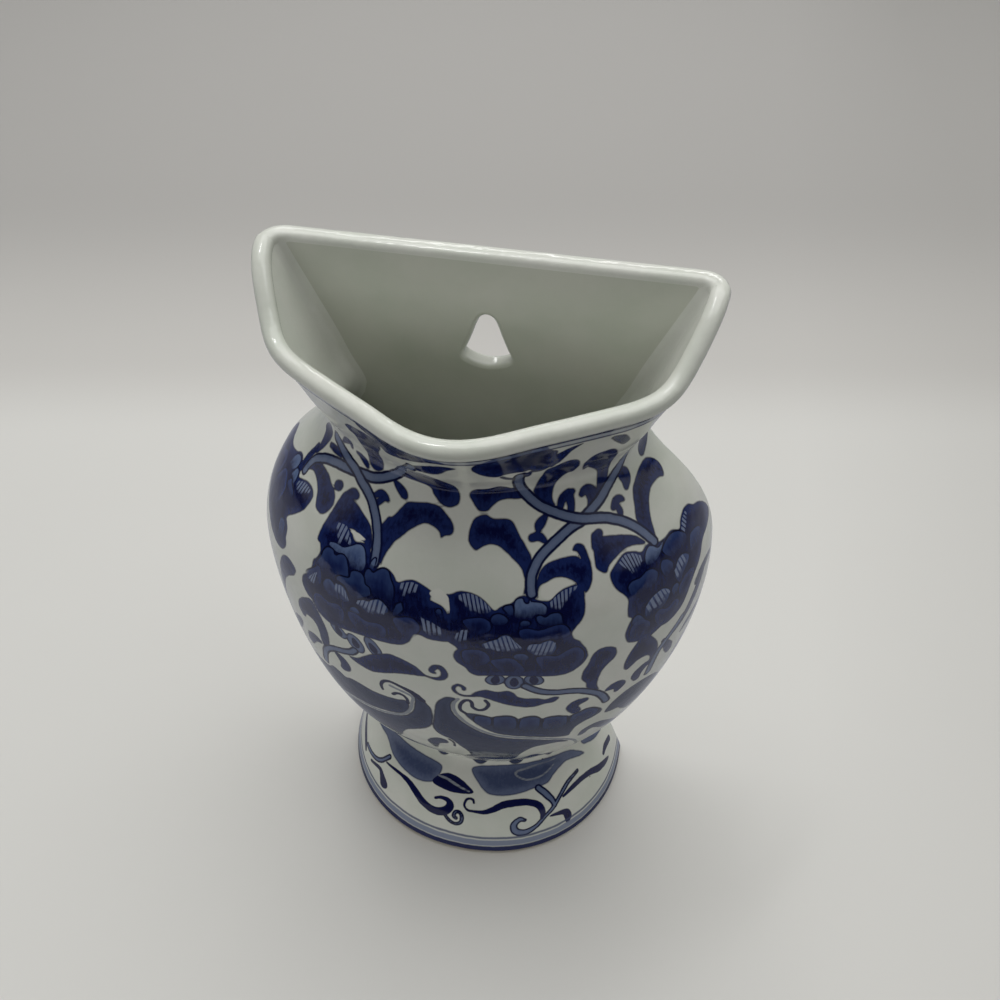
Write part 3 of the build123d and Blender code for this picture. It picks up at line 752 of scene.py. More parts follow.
# %% Curled leaves below the flowers
low_leaves = marks("""
-53.5 122.5 1.5, -56 121.5 3, -59 118.5 2.6, -61.5 114 1.8, -63.5 108 1.2, -64.5 103 .6;
-47 115.5, -51 112.5, -53.5 109, -54 106, -52.5 103.8, -51 104.2, -50 106, -48 106.4, -46 105.6, -45 103,
-44.8 98, -43.5 95.5, -41.5 98, -40.4 103, -40.7 107, -42 110.5, -43.5 113.5, -45 115.5;
-52.5 92.5 1.4, -51 95.3 2, -48.5 97 1.6, -46 97.2 .9;
-38.5 97.5 1, -36.3 95.8 1.8, -35.6 93.5 1.9, -37 92 1.2;
-33 100.5, -30 101.3, -27 103.8, -24 106.3, -20 108.5, -17 109.6, -13 108.8, -9.5 107.3, -7.5 105.3,
-6.3 104.2, -8 103.5, -11 103, -15 102, -18 100.8, -21.5 99.3, -25 98.2, -29 98.6, -32 99.4;
-6.8 104.2 .45, -5 103.9 .5, -3 104 .75, -1.3 105.2 1, -1 107.2 1, -2.2 109.2 .95, -3.8 108.8 1, -4.9 107 .85,
-3.8 106.3 .5;
6.8 99.3, 8.3 101, 11 102.2, 14.5 101.7, 17.5 102.3, 19.3 101.4, 20.5 99.8, 23 98.9, 26.5 98.7, 29 98,
31.5 98.8, 33 98, 31.5 96.2, 29 95.8, 26 94.8, 23 94.6, 19.5 95.3, 16 96.4, 13 97.6, 10 98.6, 8 98.6;
7.5 98.9 .5, 4.8 98.4 .45, 2.8 99 .55, 1.6 100.5 .6, 1.9 102 .6, 3.2 102.9 .6, 4.6 102 .7, 4.6 101.2 .6;
41.5 115, 43.5 116.6, 46 116.6, 48.3 115.3, 49 113, 48.5 110.8, 46.8 109.2, 45.3 107, 44.4 104, 44.3 100.5,
45.3 97.8, 43 98.5, 41 100.2, 40.3 102.8, 38.8 105, 39 108, 40.2 111;
48.3 96.2 .8, 50.5 97 1.7, 52.5 96.3 2, 52 94.2 1;
41.5 94.5 1, 39 93.8 1.6, 37.6 92 1.8, 39 89.8 1.6;
56.5 114.8, 54 111.5, 52.6 108, 52.2 104.5, 53.7 102.7, 55.3 103.8, 56.8 105, 59 105.4, 61 104.8, 62 103,
62.3 100, 64 98, 65 101, 64.6 106, 63.5 109.5, 61.5 112.5, 59.5 114.5;
62.5 100.8 1, 60.2 100 1.6, 58.4 97.8 1.9, 58.8 95.5 1.2;
66.5 107.5 .9, 68.5 104.5 1.4, 70.5 101.5 1.8, 71.5 99.3 1.3;
86 121.5 .8, 82 119 1.6, 78 114.5 1.8, 74 110.5 1.4, 69.5 107.8 1""")
faint_leaves = marks("""
55.5 174.6 .8, 58.5 173.4 1.5, 61.5 171.2 1.2;
-56 99 1.2, -58.5 96.5 2.2, -60.5 93.5 1.8, -62 91 1;
80.5 121 1.3, 84 122.3 1.7, 89 122.6 1.2, 94 121.5 .6;
88 155.5 2, 94 156 2.2, 100 156.3 2.2""")
print(len(low_leaves), "leaves below the flowers and", len(faint_leaves), "faint ones")


# %% Looped petals that hang from the two front flowers
def oval(around, height, wide, tall, lean=0.0):
    """A closed outline of an egg-shaped petal, leaning to the right by lean."""
    turn = np.linspace(0, 2 * np.pi, 13)[:-1]
    return [(around + wide * math.cos(t) + lean * math.sin(t), height + tall * math.sin(t))
            for t in turn]


loops = [oval(-35.2, 109.8, 3.0, 2.6, -1.0), oval(-29.2, 108.0, 3.1, 3.6, -0.8),
         oval(-22.8, 109.4, 2.7, 4.2, -1.6), oval(13.8, 106.9, 3.0, 2.4, 0.4),
         oval(19.2, 106.2, 2.9, 3.2), oval(24.9, 107.0, 3.0, 2.4, -0.6)]
hearts_at = [(-35.2, 109.6, -0.4), (-29.2, 108, -0.4), (-22.9, 109.2, -0.8), (13.8, 106.9, 0.3),
             (19.2, 106.2, 0), (24.9, 107.0, -0.3)]
loop_hearts = [[(around + lean, height + 1.3, 0.7), (around, height - 0.2, 1.2),
                (around - lean * 0.5, height - 1.2, 0.8)] for around, height, lean in hearts_at]
print(len(loops), "looped petals, each with a dark heart")

# %% [markdown]
# ## Large leaves round the foot of the belly
# These are painted with a thinner wash that fires a greyer blue. White lines are left
# open between them where one leaf curls over the next. What the photograph can't show,
# at the waist and far round the sides, goes on in the same way and is a guess.

# %% Large leaves
large_leaves = marks("""
5 90.3, 8 90.6, 11 90.2, 13 89.7, 15.5 90.6, 18 90.9, 20 90.2, 21.3 89.2, 23 90, 25 90.5, 27 90, 28.7 88.6,
30.5 89.2, 33 89.3, 35.5 88.6, 37.3 87.8, 40 88.8, 43 89.8, 46 88.8, 48.3 86.8, 48.8 84.8, 47 83.3, 43.5 82,
41 80, 40 77, 39.5 75, 36 75.5, 31.5 77, 27 78.3, 20 79.8, 15 81, 10.5 83.5, 7.5 86.3, 5 89;
-4.8 90, -4.3 92.5, -2.8 95, -.8 96.6, 1.5 96.8, 2.3 96, 1 94.5, .6 92, 1.2 89.5, 3 86.8, 6 84, 10 81.3,
15 79.3, 20 78.2, 27 76.8, 33 74.8, 38 72.5, 41 69.5, 36 71.2, 30 71, 27.5 70, 25.5 67.5, 24 64, 23 58, 20 52,
14 50, 8 54, 6 60, 5 66, 2.5 70, .5 73, -1 74.5, -3.5 75.5, -5.5 77.5, -6.2 80.5, -5.6 84, -5.3 87;
-46 86, -43 88.2, -40 88, -37.5 87.2, -35 88.3, -31 88.7, -27 88.3, -22 88.5, -17 89.3, -14.5 90, -13.3 88.5,
-13.6 86, -15 83.5, -18 81.6, -22 80.3, -28 78.6, -34 77.5, -40 76, -46 73.5, -52 72, -58 76, -60 80, -56 84,
-51 85.3;
-13 95.6, -10.5 94.5, -8.5 93, -7 91, -5.8 89, -5.6 85, -6.3 81, -8 78.5, -10 76.8, -13 75, -16.5 72.5,
-19 69, -21 65, -25 61, -32 60, -40 62, -46 66, -50 70.5, -44 72.5, -38 75, -30 76.6, -24 78.2, -19 80,
-15 82.5, -12.3 86, -11.5 89.5, -11.2 92, -12 94;
-9.8 68, -8.8 70.5, -6.5 72.6, -4 73.3, -2 72.6, -1.6 70.8, -3 69.8, -5 68.8, -6 66, -7 63, -8.5 64;
50.5 83, 51 86, 53 88.8, 56 91, 60 92, 65 91.5, 70 89, 73 85, 72 80, 68 77, 63 76, 59 78.5, 56 81.5, 53 82;
45 72.5 1.2, 46 75 1.6, 49 76 1.8, 52 74.5 2, 55 72 2.2, 58 70 2, 62 67 1.2;
76 104 .6, 80 106.5 1.6, 86 108 2.2, 92 107 2, 97 104 1.2;
-76 112 .6, -80 115.5 1.8, -86 117 2.4, -92 116 2.2, -97 113 1.2;
-70 97, -73 100.5, -78 102.5, -84 102, -90 99, -93 94, -89 89, -82 86, -75 86.5, -71 90;
78 97, 82 99.5, 88 99.5, 94 96, 96 90, 92 85, 85 83, 79 85.5, 76 91""")
waist_leaves = [[(c, 60, 1.5), (c + 1, 52, 4.5), (c + 0.5, 44, 4.2), (c, 36, 3.2), (c, 30, 2.6)]
                for c in (-88, -66, -44, -20, 6, 30, 54, 78)]
white_lines = marks("""
.5: 2.8 96.5, 1.4 94, 1.3 91.5, 2.6 88.5, 5.5 85.2, 9.5 82.3, 14 80.3, 20 79, 27 77.6, 33 75.6, 38 73.2,
42 70, 45 66, 47 61;
.5: -19 94.8, -12 93, -12.2 90, -13 86.5, -15.5 82.8, -20 80.2, -26 78.2, -32 77.2, -38 75.6, -45 73,
-50 69.5;
-18 22.4 .35, -12 22.2 .45, -5 21.3 .4, 1.5 20.5 .3;
56 25.6 .25, 46 25.9 .3, 36 25.8 .35, 29 25.3 .35, 29.4 24.4 .35, 34 23.3 .35, 40 23 .35, 47 23.5 .3,
54 24.6 .25""")
bare_spots = marks("""
-35 144.6, -33 143.9, -31.3 143.6, -29 143.9, -27.8 144.1, -29.5 144.5, -31.5 144.8;
28 139.2, 29 140, 31 140.6, 33.5 140.8, 36 140.2, 37.4 139.4, 35 139, 32.4 137.7, 30.4 136.4, 28.9 136.4,
27.6 137.3;
-4.6 136.4, -3.4 135, -1 133.8, .4 132.2, 1.2 130.9, 1.2 134, .5 136.4, -2 138""")
print(len(large_leaves), "large leaves,", len(waist_leaves), "at the waist")

# %% Fine dark lines and curls
fine_lines = marks("""
.55: 11 97.3, 12 95.5, 11 93.3, 9 92.5, 7.2 93.7, 7 95.5, 6 96.6, 4.6 96, 3.4 94, 3.5 91.5, 5 90.2;
.55: -18.5 91, -17 92.2, -15 92.2, -13.8 91, -13.5 89;
-22 91.5 .5, -22.3 93.5 .55, -21.3 95.6 .55, -19 96.7 .55, -16 96.2 .6, -13 95.3 .8, -10.5 94 1, -8.5 92.3 .9;
.4: -1.2 73.8, .3 72, .4 69;
.35: -38.3 124, -38 122.6, -36.5 121.9, -35.2 121.5;
.35: 5.2 121.6, 7 122.2, 9 121.8, 9.8 120.8;
.35: 15 116, 16 117, 17.6 117.2, 18.5 116.6""") + loop_hearts
print(len(fine_lines), "fine lines")

# %% [markdown]
# ## Foot
# The foot carries a scroll of its own under a wash of leaves. The bands at the ground are
# level, so the finish draws them from the height alone.

# %% Foot scroll
foot_dark = marks("""
-50 16.5 .4, -40 17.3 .6, -33 17 1, -27 15.5 1.3, -21 13.5 1.4, -15 12.6 1.5, -10 13.5 1.6, -7.5 15.5 1.4,
-9 17 .9, -13 17.2 .6, -16 16.5 .5;
-20 20.3, -17.5 22.6, -12 23.6, -6 23.3, 0 22, 4 20.3, -3 19.6, -12 19.5;
5 15.4 .5, 10 15.5 .8, 15 16.5 1.1, 20 17.7 1.3, 27 18 1.3, 33 17.6 1.2, 38 16 1.2, 39.5 13.5 1.1,
38.5 11.5 .6;
.45: 5 15.4, 1.5 15.6, -.3 16.8, .4 18.2, 2 18.8, 4 18.6, 4.6 17.8;
43 11 .4, 47 10.7 .8, 51 9.8 1.3, 52 7.7 1.5, 51.5 6.2 1;
52 15.5 .5, 58 16.3 .9, 65 16.6 1, 72 15.8 1.2, 78 13.8 1.4, 84 12.2 1.2, 88 11.3 .6;
86 15 .8, 90 15.5 1.2, 96 14.5 1.2;
-46.3 9.6 2.1, -49 11.6 1.3, -52.5 12.6 .8, -60 10.6 .6;
-88 14 .6, -80 13.2 1.2, -72 11.5 1.3, -68 9.5 .8""")
foot_pale = marks("""
1 25.5, 6 22.8, 11 20.7, 17 20.1, 28 20.2, 38 20.8, 46 21, 52 22.5, 62 23.5, 75 21.5, 68 25, 55 26.5, 40 27.2,
20 27.5, 5 26.8;
-75 20.5, -60 21.5, -48 19.7, -36 18.9, -28 18.9, -21 20, -18 21.5, -17 24, -20 25, -30 25.2, -42 25,
-55 24.5, -66 23;
80 24 1.5, 88 22.5 2, 96 21 1.6;
-96 22 1.6, -88 22.5 2, -80 23.5 1.4""")
foot_stems = marks("""
30 12.3 .8, 27.5 12.8 1.1, 24.5 11 1.3, 25.5 8.5 1.5, 30 7.8 1.3, 35 9 1, 40 11.5 .9, 45 13.5 .9, 50 16 .9,
57 18.5 .9, 65 19.5 .7;
1: -50 18.5, -54 15, -60 13, -68 12;
40 20.6 1.3, 43 18.6 1.4, 45.6 16.2 1.2, 46.4 14 .9;
.75: -10.5 13.2, -8 11.5, -5.5 10.4, -3 10.2, -1 11.3, -.8 13.2, -2.4 14.4, -4.4 14.1, -4.9 12.8,
-3.6 12.2""")
print(len(foot_dark + foot_pale + foot_stems), "marks on the foot")

# %% The coats, from the first to the last
coats = {
    "loop": loops,
    "flood": peonies + neck_leaves + shoulder_leaves + low_leaves + buds,
    "thin_wash": large_leaves + waist_leaves + faint_leaves,
    "foot_wash": foot_pale,
    "cross_stem": crossing_stems,
    "stem": stems + foot_stems,
    "deep_petal": deep_petals,
    "pale_petal": palest_petals,
    "rear_petal": rear_petals,
    "middle_petal": middle_petals,
    "front_petal": front_petals,
    "dark_line": fine_lines + foot_dark,
    "open_line": white_lines,
    "bare_spot": bare_spots,
}
print(sum(len(brushed) for brushed in coats.values()), "brush marks in", len(coats), "coats")


# %% [markdown]
# Each point of a piece keeps its distance to every coat under the coat's name, and the
# finish reads these values by name. The lines under the lip and round the foot only need
# to know how far a point lies below the lip, and whether it is still on the front.

# %% Paint a piece
NO_LIP = 60.0
FRONT_ENDS, FADES_OVER = 108, 4


def keep(piece, name, values):
    """Keeps one number on each point of a piece."""
    kept = piece.data.attributes.new(name, "FLOAT", "POINT")
    kept.data.foreach_set("value", values.astype(np.float32))


def paint(skin, piece, below_lip=None, on_plate=0.0):
    """Gives each point of a piece its distance to every coat, and what else the finish asks for.

    below_lip says how many mm a point lies under the lip, for the lines that follow it."""
    points, places = np.concatenate(skin.points), np.concatenate(skin.places)
    painted = ~np.isnan(places[:, 0])
    at, on_map = points[painted], places[painted]
    values = {}
    for coat, brushed in coats.items():
        values[f"coat_{coat}"], down = brush_distance(at, on_map, brushed)
        if coat.endswith("petal"):
            values[f"down_{coat}"] = down
    stripes = stripes_at(at, on_map, striped_tips)
    values["coat_stripe"], values["stripe_count"], values["down_stripe"] = stripes
    values["below_lip"] = np.full(len(at), NO_LIP) if below_lip is None else below_lip
    values["on_front"] = np.clip((FRONT_ENDS - np.abs(on_map[:, 0])) / FADES_OVER, 0, 1)
    unpainted = {name: FAR if name.startswith("coat") else 0.0 for name in values}
    unpainted["below_lip"] = NO_LIP
    for name, value in values.items():
        whole = np.full(len(points), unpainted[name])
        whole[painted] = value
        keep(piece, name, whole)
    keep(piece, "on_plate", np.full(len(points), on_plate))
    print(f"{piece.name}: {int(painted.sum())} points under the brush")


print("the front's marks end", FRONT_ENDS - EDGE, "mm round the corner")

# %% [markdown]
# ## The columns and rows of the skins
# The painting is finer than anything else on the vase, so the outer skins are grids of
# about half a millimetre. All front skins share the same columns, so that their points
# meet at the neck and the waist. The hidden insides need far fewer.

# %% Columns, and rows of even spacing up the profile
COLUMNS = 339
PITCH = 0.56
EVERY = 6
AT_THE_EDGE = 12
across = np.linspace(-1, 1, COLUMNS)
inner_across = np.concatenate([across[:AT_THE_EDGE], across[AT_THE_EDGE:-AT_THE_EDGE:EVERY],
                               across[-AT_THE_EDGE:]])


def even_heights(low, high, pitch):
    """Heights from low to high with even steps along the profile's slanted line."""
    fine = np.linspace(low, high, 2000)
    run = np.concatenate([[0], np.cumsum(np.hypot(np.diff(fine), np.diff(side_half(fine))))])
    return np.interp(np.linspace(0, run[-1], int(run[-1] / pitch) + 1), run, fine)


def with_ends(heights):
    """The same heights with one more step at each end, for slopes across a joint."""
    return np.concatenate([[2 * heights[0] - heights[1]], heights, [2 * heights[-1] - heights[-2]]])


body_heights = even_heights(WAIST, NECK, PITCH)
print("rows on the body:", len(body_heights))

# %% [markdown]
# ## Body shell
# The round belly's front wall, from the waist to the neck. On the real vase it is pressed
# in one plaster mould. Here it is a grid outside, a coarser one inside, and four flat
# joints: below to the foot, above to the collar, and behind to the plate on both sides.

# %% The slip that rounds the inner corner against the back plate
FILLET = 4.2
FILLET_LOSS = 1.6
LOSS_FROM, LOSS_OVER = 160, 36


def with_fillet(points):
    """Draws a front wall's inside in a soft curve onto the back plate."""
    size = FILLET - FILLET_LOSS * np.clip((points[..., 2] - LOSS_FROM) / LOSS_OVER, 0, 1)
    short = size - np.clip(PLATE_FRONT - points[..., 1], 0, size)
    points[..., 0] -= np.sign(points[..., 0]) * (size - np.sqrt(size ** 2 - short ** 2))
    return points


print("the inner corner's radius:", FILLET, "mm, and", FILLET - FILLET_LOSS, "at the mouth")


# %% Body shell
def places_for(around, heights):
    """Where each point of a front grid lies on the painter's map."""
    return np.stack(np.meshgrid(around * EDGE, heights), axis=2)


body = Skin()
body_outer = body.add_grid(wall_rows(across, body_heights), (0.005, 0.005, 0.995, 0.84),
                           facing(wall_rows(across, with_ends(body_heights)))[1:-1],
                           places_for(across, body_heights))
inner_heights = np.append(body_heights[:-3:EVERY], NECK)
body_inside = with_fillet(wall_rows(inner_across, inner_heights, -WALL))
longer_inside = with_fillet(wall_rows(inner_across, with_ends(inner_heights), -WALL))
body_inner = body.add_grid(body_inside, (0.005, 0.85, 0.6, 0.98), facing(longer_inside, -1)[1:-1])
body.add_cap([*body_outer[0, ::-1], *body_inner[0]], (0.61, 0.85, 0.7, 0.94), (0, 1))
body.add_cap([*body_outer[-1], *body_inner[-1, ::-1]], (0.71, 0.85, 0.8, 0.94), (0, 1))
body.add_cap([*body_outer[:, 0], *body_inner[::-1, 0]], (0.81, 0.85, 0.94, 0.98), (0, 2))
body.add_cap([*body_outer[::-1, -1], *body_inner[:, -1]], (0.95, 0.85, 0.99, 0.98), (0, 2))
print("body: grid outside", body_outer.shape, "inside", body_inner.shape)

# %% [markdown]
# ## The line of the lip
# Seen from the side, the lip lies level round the front and sweeps up to the back. For
# each column of the collar, the lip's height is where the flaring wall meets that line:
# a few rounds of looking up one in the other settle it.

# %% The lip's height above each column
LIP_RISE = 16.5
LIP_THICK = 4.4
LIP_PROUD = 0.4
BEAD_HALF = LIP_THICK / 2
LIP_FRONT = TOP - LIP_RISE
lip_shares = np.array([(0.62, 0), (0.5, 0.11), (0.39, 0.37), (0.28, 0.72), (0.19, 0.93), (0.11, 1)])
lip_line_y = BACK - MOUTH_DEPTH * lip_shares[:, 0]
lip_line_z = LIP_FRONT + LIP_RISE * lip_shares[:, 1]
flare_heights = np.arange(NECK - 1, TOP + 1.5, 0.1)
flare = wall_rows(across, flare_heights)
flare_inside = wall_rows(across, flare_heights, -WALL)
flare_normals = facing(flare)
column = np.arange(COLUMNS)


def on_flare(table, heights):
    """Reads the flared wall's table at one height for each column."""
    step = flare_heights[1] - flare_heights[0]
    at = np.clip((heights - flare_heights[0]) / step, 0, len(flare_heights) - 1.001)
    low = at.astype(int)
    t = (at - low)[..., None]
    return table[low, column] * (1 - t) + table[low + 1, column] * t


def lip_height(y):
    """The lip's height at a depth y, seen from the side."""
    flat = (np.zeros(1), np.zeros(1))
    return bend(lip_line_y, lip_line_z, np.clip(y, lip_line_y[0], lip_line_y[-1]), flat)[:, 0]


lip = np.full(COLUMNS, LIP_FRONT)
for settle in range(40):
    lip = (lip + lip_height(on_flare(flare, lip - LIP_THICK)[:, 1])) / 2
print("lip: front", round(float(lip[COLUMNS // 2]), 2), "side", round(float(lip[0]), 2), "mm")

# %% [markdown]
# ## Neck collar
# The flared front wall between the neck and the lip. Its rows fan out from the level neck
# to the sweeping lip, and its top edge ends inside the rolled bead, which hides it.

# %% Neck collar
bead_middle = lip - BEAD_HALF
rise = np.linspace(0, 1, 84)[:, None]
collar_heights = NECK + rise * (bead_middle - NECK)
inner_rise = np.linspace(0, 1, 40)[:, None]
collar_inside_heights = NECK + inner_rise * (bead_middle - NECK)
collar_normals = np.stack([on_flare(flare_normals, row) for row in collar_heights])
collar_places = np.stack([np.broadcast_to(across * EDGE, collar_heights.shape), collar_heights], axis=2)
collar = Skin()
collar_outer = collar.add_grid(np.stack([on_flare(flare, row) for row in collar_heights]),
                               (0.005, 0.005, 0.995, 0.5), collar_normals, collar_places)
inside_rows = with_fillet(np.stack([on_flare(flare_inside, row) for row in collar_inside_heights]))
collar_inner = collar.add_grid(inside_rows, (0.005, 0.52, 0.995, 0.85), facing(inside_rows, -1))
collar.strip(collar_inner[0], collar_outer[0], (0.01, 0.87, 0.9, 0.9))
collar.strip(collar_outer[-1], collar_inner[-1], (0.01, 0.91, 0.9, 0.94))
collar.add_cap([*collar_outer[:, 0], *collar_inner[::-1, 0]], (0.91, 0.87, 0.95, 0.99), (0, 2))
collar.add_cap([*collar_outer[::-1, -1], *collar_inner[:, -1]], (0.955, 0.87, 0.99, 0.99), (0, 2))
print("collar: grid outside", collar_outer.shape, "inside", collar_inner.shape)

# %% How far each point of the collar lies under the lip
under_lip = (lip - LIP_THICK - collar_heights).ravel()
print("the neck lies up to", round(float(under_lip.max()), 1), "mm under the lip")

# %% [markdown]
# ## Mouth rim
# The rolled lip is a bead that runs right round: along the bracket-shaped front, round
# two back corners and straight along the back. It is one section swept round a closed
# path. A curve object with a bevel would do for a round bead, but this one grows wider
# and squarer along the back, where it lies against the wall.

# %% The bead's path
BACK_HALF = 2.5
CORNER = 4.4
FRONT_HALF = WALL / 2 + LIP_PROUD
front_line = (on_flare(flare, bead_middle) + on_flare(flare_inside, bead_middle)) / 2
side_x = front_line[-1, 0]
back_y = BACK - BACK_HALF
turn = quarter_turn(14)
right_corner = np.stack([side_x - CORNER + CORNER * np.cos(turn), back_y - CORNER + CORNER * np.sin(turn),
                         np.full(len(turn), TOP - BEAD_HALF)], axis=1)
left_corner = right_corner[::-1] * [-1, 1, 1]
path = np.vstack([front_line[2:-2], right_corner, left_corner, front_line[2:3]])
run = np.concatenate([[0], np.cumsum(np.linalg.norm(np.diff(path, axis=0), axis=1))])
steps = np.linspace(0, run[-1], int(run[-1] / 0.55))[:-1]
path = np.stack([np.interp(steps, run, path[:, k]) for k in range(3)], axis=1)
for again in range(3):
    path = (np.roll(path, 1, axis=0) + 2 * path + np.roll(path, -1, axis=0)) / 4
print("bead: path", round(float(run[-1]), 1), "mm,", len(path), "steps")

# %% The bead's sections
SQUARENESS, SQUARER_BEHIND = 2.2, 0.7
GROWS_BEFORE = 1.5


def soften(share):
    """The same share from 0 to 1, but starting and ending gently."""
    return share * share * (3 - 2 * share)


def squared(turning, squareness):
    """A sine or cosine for a rounded square in place of a circle."""
    return np.sign(turning) * np.abs(turning) ** (2 / squareness)


ahead = np.roll(path, -1, axis=0) - np.roll(path, 1, axis=0)
ahead /= np.linalg.norm(ahead, axis=1, keepdims=True)
out = np.cross(ahead, [0, 0, 1])
out /= np.linalg.norm(out, axis=1, keepdims=True)
above = np.cross(out, ahead)
behind = np.clip((path[:, 1] - (PLATE_FRONT - GROWS_BEFORE)) / (back_y - PLATE_FRONT + GROWS_BEFORE), 0, 1)
behind = soften(behind)[:, None]
half_width = FRONT_HALF + (BACK_HALF - FRONT_HALF) * behind
squareness = SQUARENESS + SQUARER_BEHIND * behind
angle = np.linspace(0, 2 * np.pi, 33)[:-1]
sideways = squared(np.cos(angle), squareness) * half_width
upwards = squared(np.sin(angle), squareness) * BEAD_HALF
print("bead: half width", round(float(half_width.min()), 2), "to", round(float(half_width.max()), 2), "mm")

# %% The bead's skin
bead = path[:, None] + sideways[..., None] * out[:, None] + upwards[..., None] * above[:, None]
bead = np.concatenate([bead[-2:], bead, bead[:3]])
bead_normals = loop_facing(bead, -1)[2:-2]
bead = bead[2:-2]
rolled_rim = Skin()
rolled_rim.add_grid(bead, (0.01, 0.01, 0.99, 0.99), bead_normals, closed=True)
print("bead: grid", bead.shape[:2])

# %% [markdown]
# ## Back plate
# A flat slab whose upright edges carry on the line of the belly, with the rounded
# triangular hole that a nail goes through. A filled 2D curve could make the slab, but its
# bevel would also round the edge that is luted to the shell. So the sides are grids, the
# two flat faces are filled round the hole, and the hole's own wall is a grid with softly
# rounded, glazed edges.

# %% The hanging hole's outline
hole_right = [(0, 183.5), (1.3, 183.0), (2.3, 181.6), (3.7, 177.7), (5.0, 174.3), (5.95, 172.2),
              (5.6, 171.0), (4.2, 170.2), (2.0, 169.5), (0, 169.3)]
hole_line = smooth(hole_right + [(-x, z) for x, z in hole_right[-2:0:-1]], closed=True, steps=8)
print("hanging hole:", np.round(np.ptp(hole_line, axis=0), 1), "mm wide and high")

# %% The section of the plate's upright edges, and how it eases in towards the lip
BACK_CORNER = 2.4
EASE_FROM, EASE_OVER = 182, 14
EASED_BY = 2.2
DRAWN_IN = 0.5
plate_heights = np.concatenate([body_heights, np.linspace(NECK + 0.8, TOP - BEAD_HALF, 48)])
half = side_half(plate_heights)
slope = np.gradient(half, plate_heights)
bend_angles = quarter_turn(9)
edge = np.array([(0, PLATE_FRONT), (0, (PLATE_FRONT + BACK - BACK_CORNER) / 2)]
                + [(BACK_CORNER * (np.cos(a) - 1), BACK - BACK_CORNER * (1 - np.sin(a)))
                   for a in bend_angles])
edge_angles = np.concatenate([[0, 0], bend_angles])
ease = soften(np.clip((plate_heights - EASE_FROM) / EASE_OVER, 0, 1))
inwards = EASED_BY * (np.cos(edge_angles) - 1) - DRAWN_IN * (np.arange(len(edge)) > 0)
forwards = -EASED_BY * (1 - np.sin(edge_angles)) * (edge_angles > 0)
plate_edge = edge + ease[:, None, None] * np.stack([inwards, forwards], axis=1)
print("plate edge:", len(edge), "points in each of", len(plate_heights), "sections")

# %% The plate's upright edges
plate = Skin()
plate_under_lip = []
side_index = {}
for side in (1, -1):
    points = np.stack([side * (half[:, None] + plate_edge[..., 0]), plate_edge[..., 1],
                       np.broadcast_to(plate_heights[:, None], (len(half), len(edge)))], axis=2)
    lean = np.cos(edge_angles)
    normals = np.stack([side * np.broadcast_to(lean, (len(half), len(edge))),
                        np.broadcast_to(np.sin(edge_angles), (len(half), len(edge))),
                        -slope[:, None] * lean], axis=2)
    normals /= np.linalg.norm(normals, axis=2, keepdims=True)
    left = 0.84 if side == 1 else 0.92
    places = np.stack([side * (EDGE + points[..., 1] - PLATE_FRONT), points[..., 2]], axis=2)
    plate_under_lip.append((lip[-1] - LIP_THICK - points[..., 2]).ravel())
    side_index[side] = plate.add_grid(points, (left, 0.01, left + 0.07, 0.99), normals, places)
    print("plate edge", side, "has a grid of", side_index[side].shape)

# %% The hanging hole's wall
HOLE_EDGE = 1.3
tangent = np.roll(hole_line, -1, axis=0) - np.roll(hole_line, 1, axis=0)
hole_out = np.stack([-tangent[:, 1], tangent[:, 0]], axis=1)
hole_out /= np.linalg.norm(hole_out, axis=1, keepdims=True)
if np.sum(hole_out * (hole_line - hole_line.mean(0))) < 0:
    hole_out = -hole_out
rounding = quarter_turn(7)
hole_rows = [(HOLE_EDGE * (1 - np.sin(a)), PLATE_FRONT + HOLE_EDGE * (1 - np.cos(a))) for a in rounding]
hole_rows += [(HOLE_EDGE * (1 - np.cos(a)), BACK - HOLE_EDGE * (1 - np.sin(a))) for a in rounding]
hole_wall = np.stack([np.stack([hole_line[:, 0] + hole_out[:, 0] * grow, np.full(len(hole_line), y),
                                hole_line[:, 1] + hole_out[:, 1] * grow], axis=1)
                      for grow, y in hole_rows])
hole_normals = loop_facing(hole_wall)
to_middle = hole_wall.mean((0, 1)) - hole_wall
if np.sum(hole_normals * to_middle) < 0:
    hole_normals = -hole_normals
hole_index = plate.add_grid(hole_wall, (0.01, 0.94, 0.4, 0.99), hole_normals, closed=True)
print("hole wall: grid", hole_index.shape)


# %% The plate's flat faces and its two ends
def fill_round_hole(column, ring, box, towards):
    """Fills a flat face of the plate, from its outline to a ring of the hole's wall."""
    outline = [*side_index[1][:, column], *side_index[-1][::-1, column]]
    index = np.array([*outline, *ring])
    at = np.concatenate(plate.points)[index]
    flat = [[Vector((p[0], p[2], 0)) for p in part] for part in (at[:len(outline)], at[len(outline):])]
    faces = []
    for a, b, c in tessellate_polygon(flat):
        n = np.cross(at[b] - at[a], at[c] - at[a])[1]
        faces.append((index[a], index[b], index[c]) if n * towards > 0 else (index[a], index[c], index[b]))
    plate.add_triangles(faces, box, (0, 2))


fill_round_hole(0, hole_index[0], (0.01, 0.01, 0.41, 0.93), -1)
fill_round_hole(-1, hole_index[-1], (0.42, 0.01, 0.82, 0.93), 1)
plate.add_cap([*side_index[1][0], *side_index[-1][0, ::-1]], (0.42, 0.94, 0.6, 0.99), (0, 1))
plate.add_cap([*side_index[-1][-1], *side_index[1][-1, ::-1]], (0.62, 0.94, 0.8, 0.99), (0, 1))
print("plate:", plate.total, "points,", len(plate.faces), "faces")

# %% [markdown]
# ## Foot
# The flared foot is a D-shaped collar of clay with its own flat back, hollow beneath. Its
# loops run round the front, round two back corners and straight across the back. It
# stands on a ring that is wiped clean of glaze, so that it can't stick to the kiln shelf.

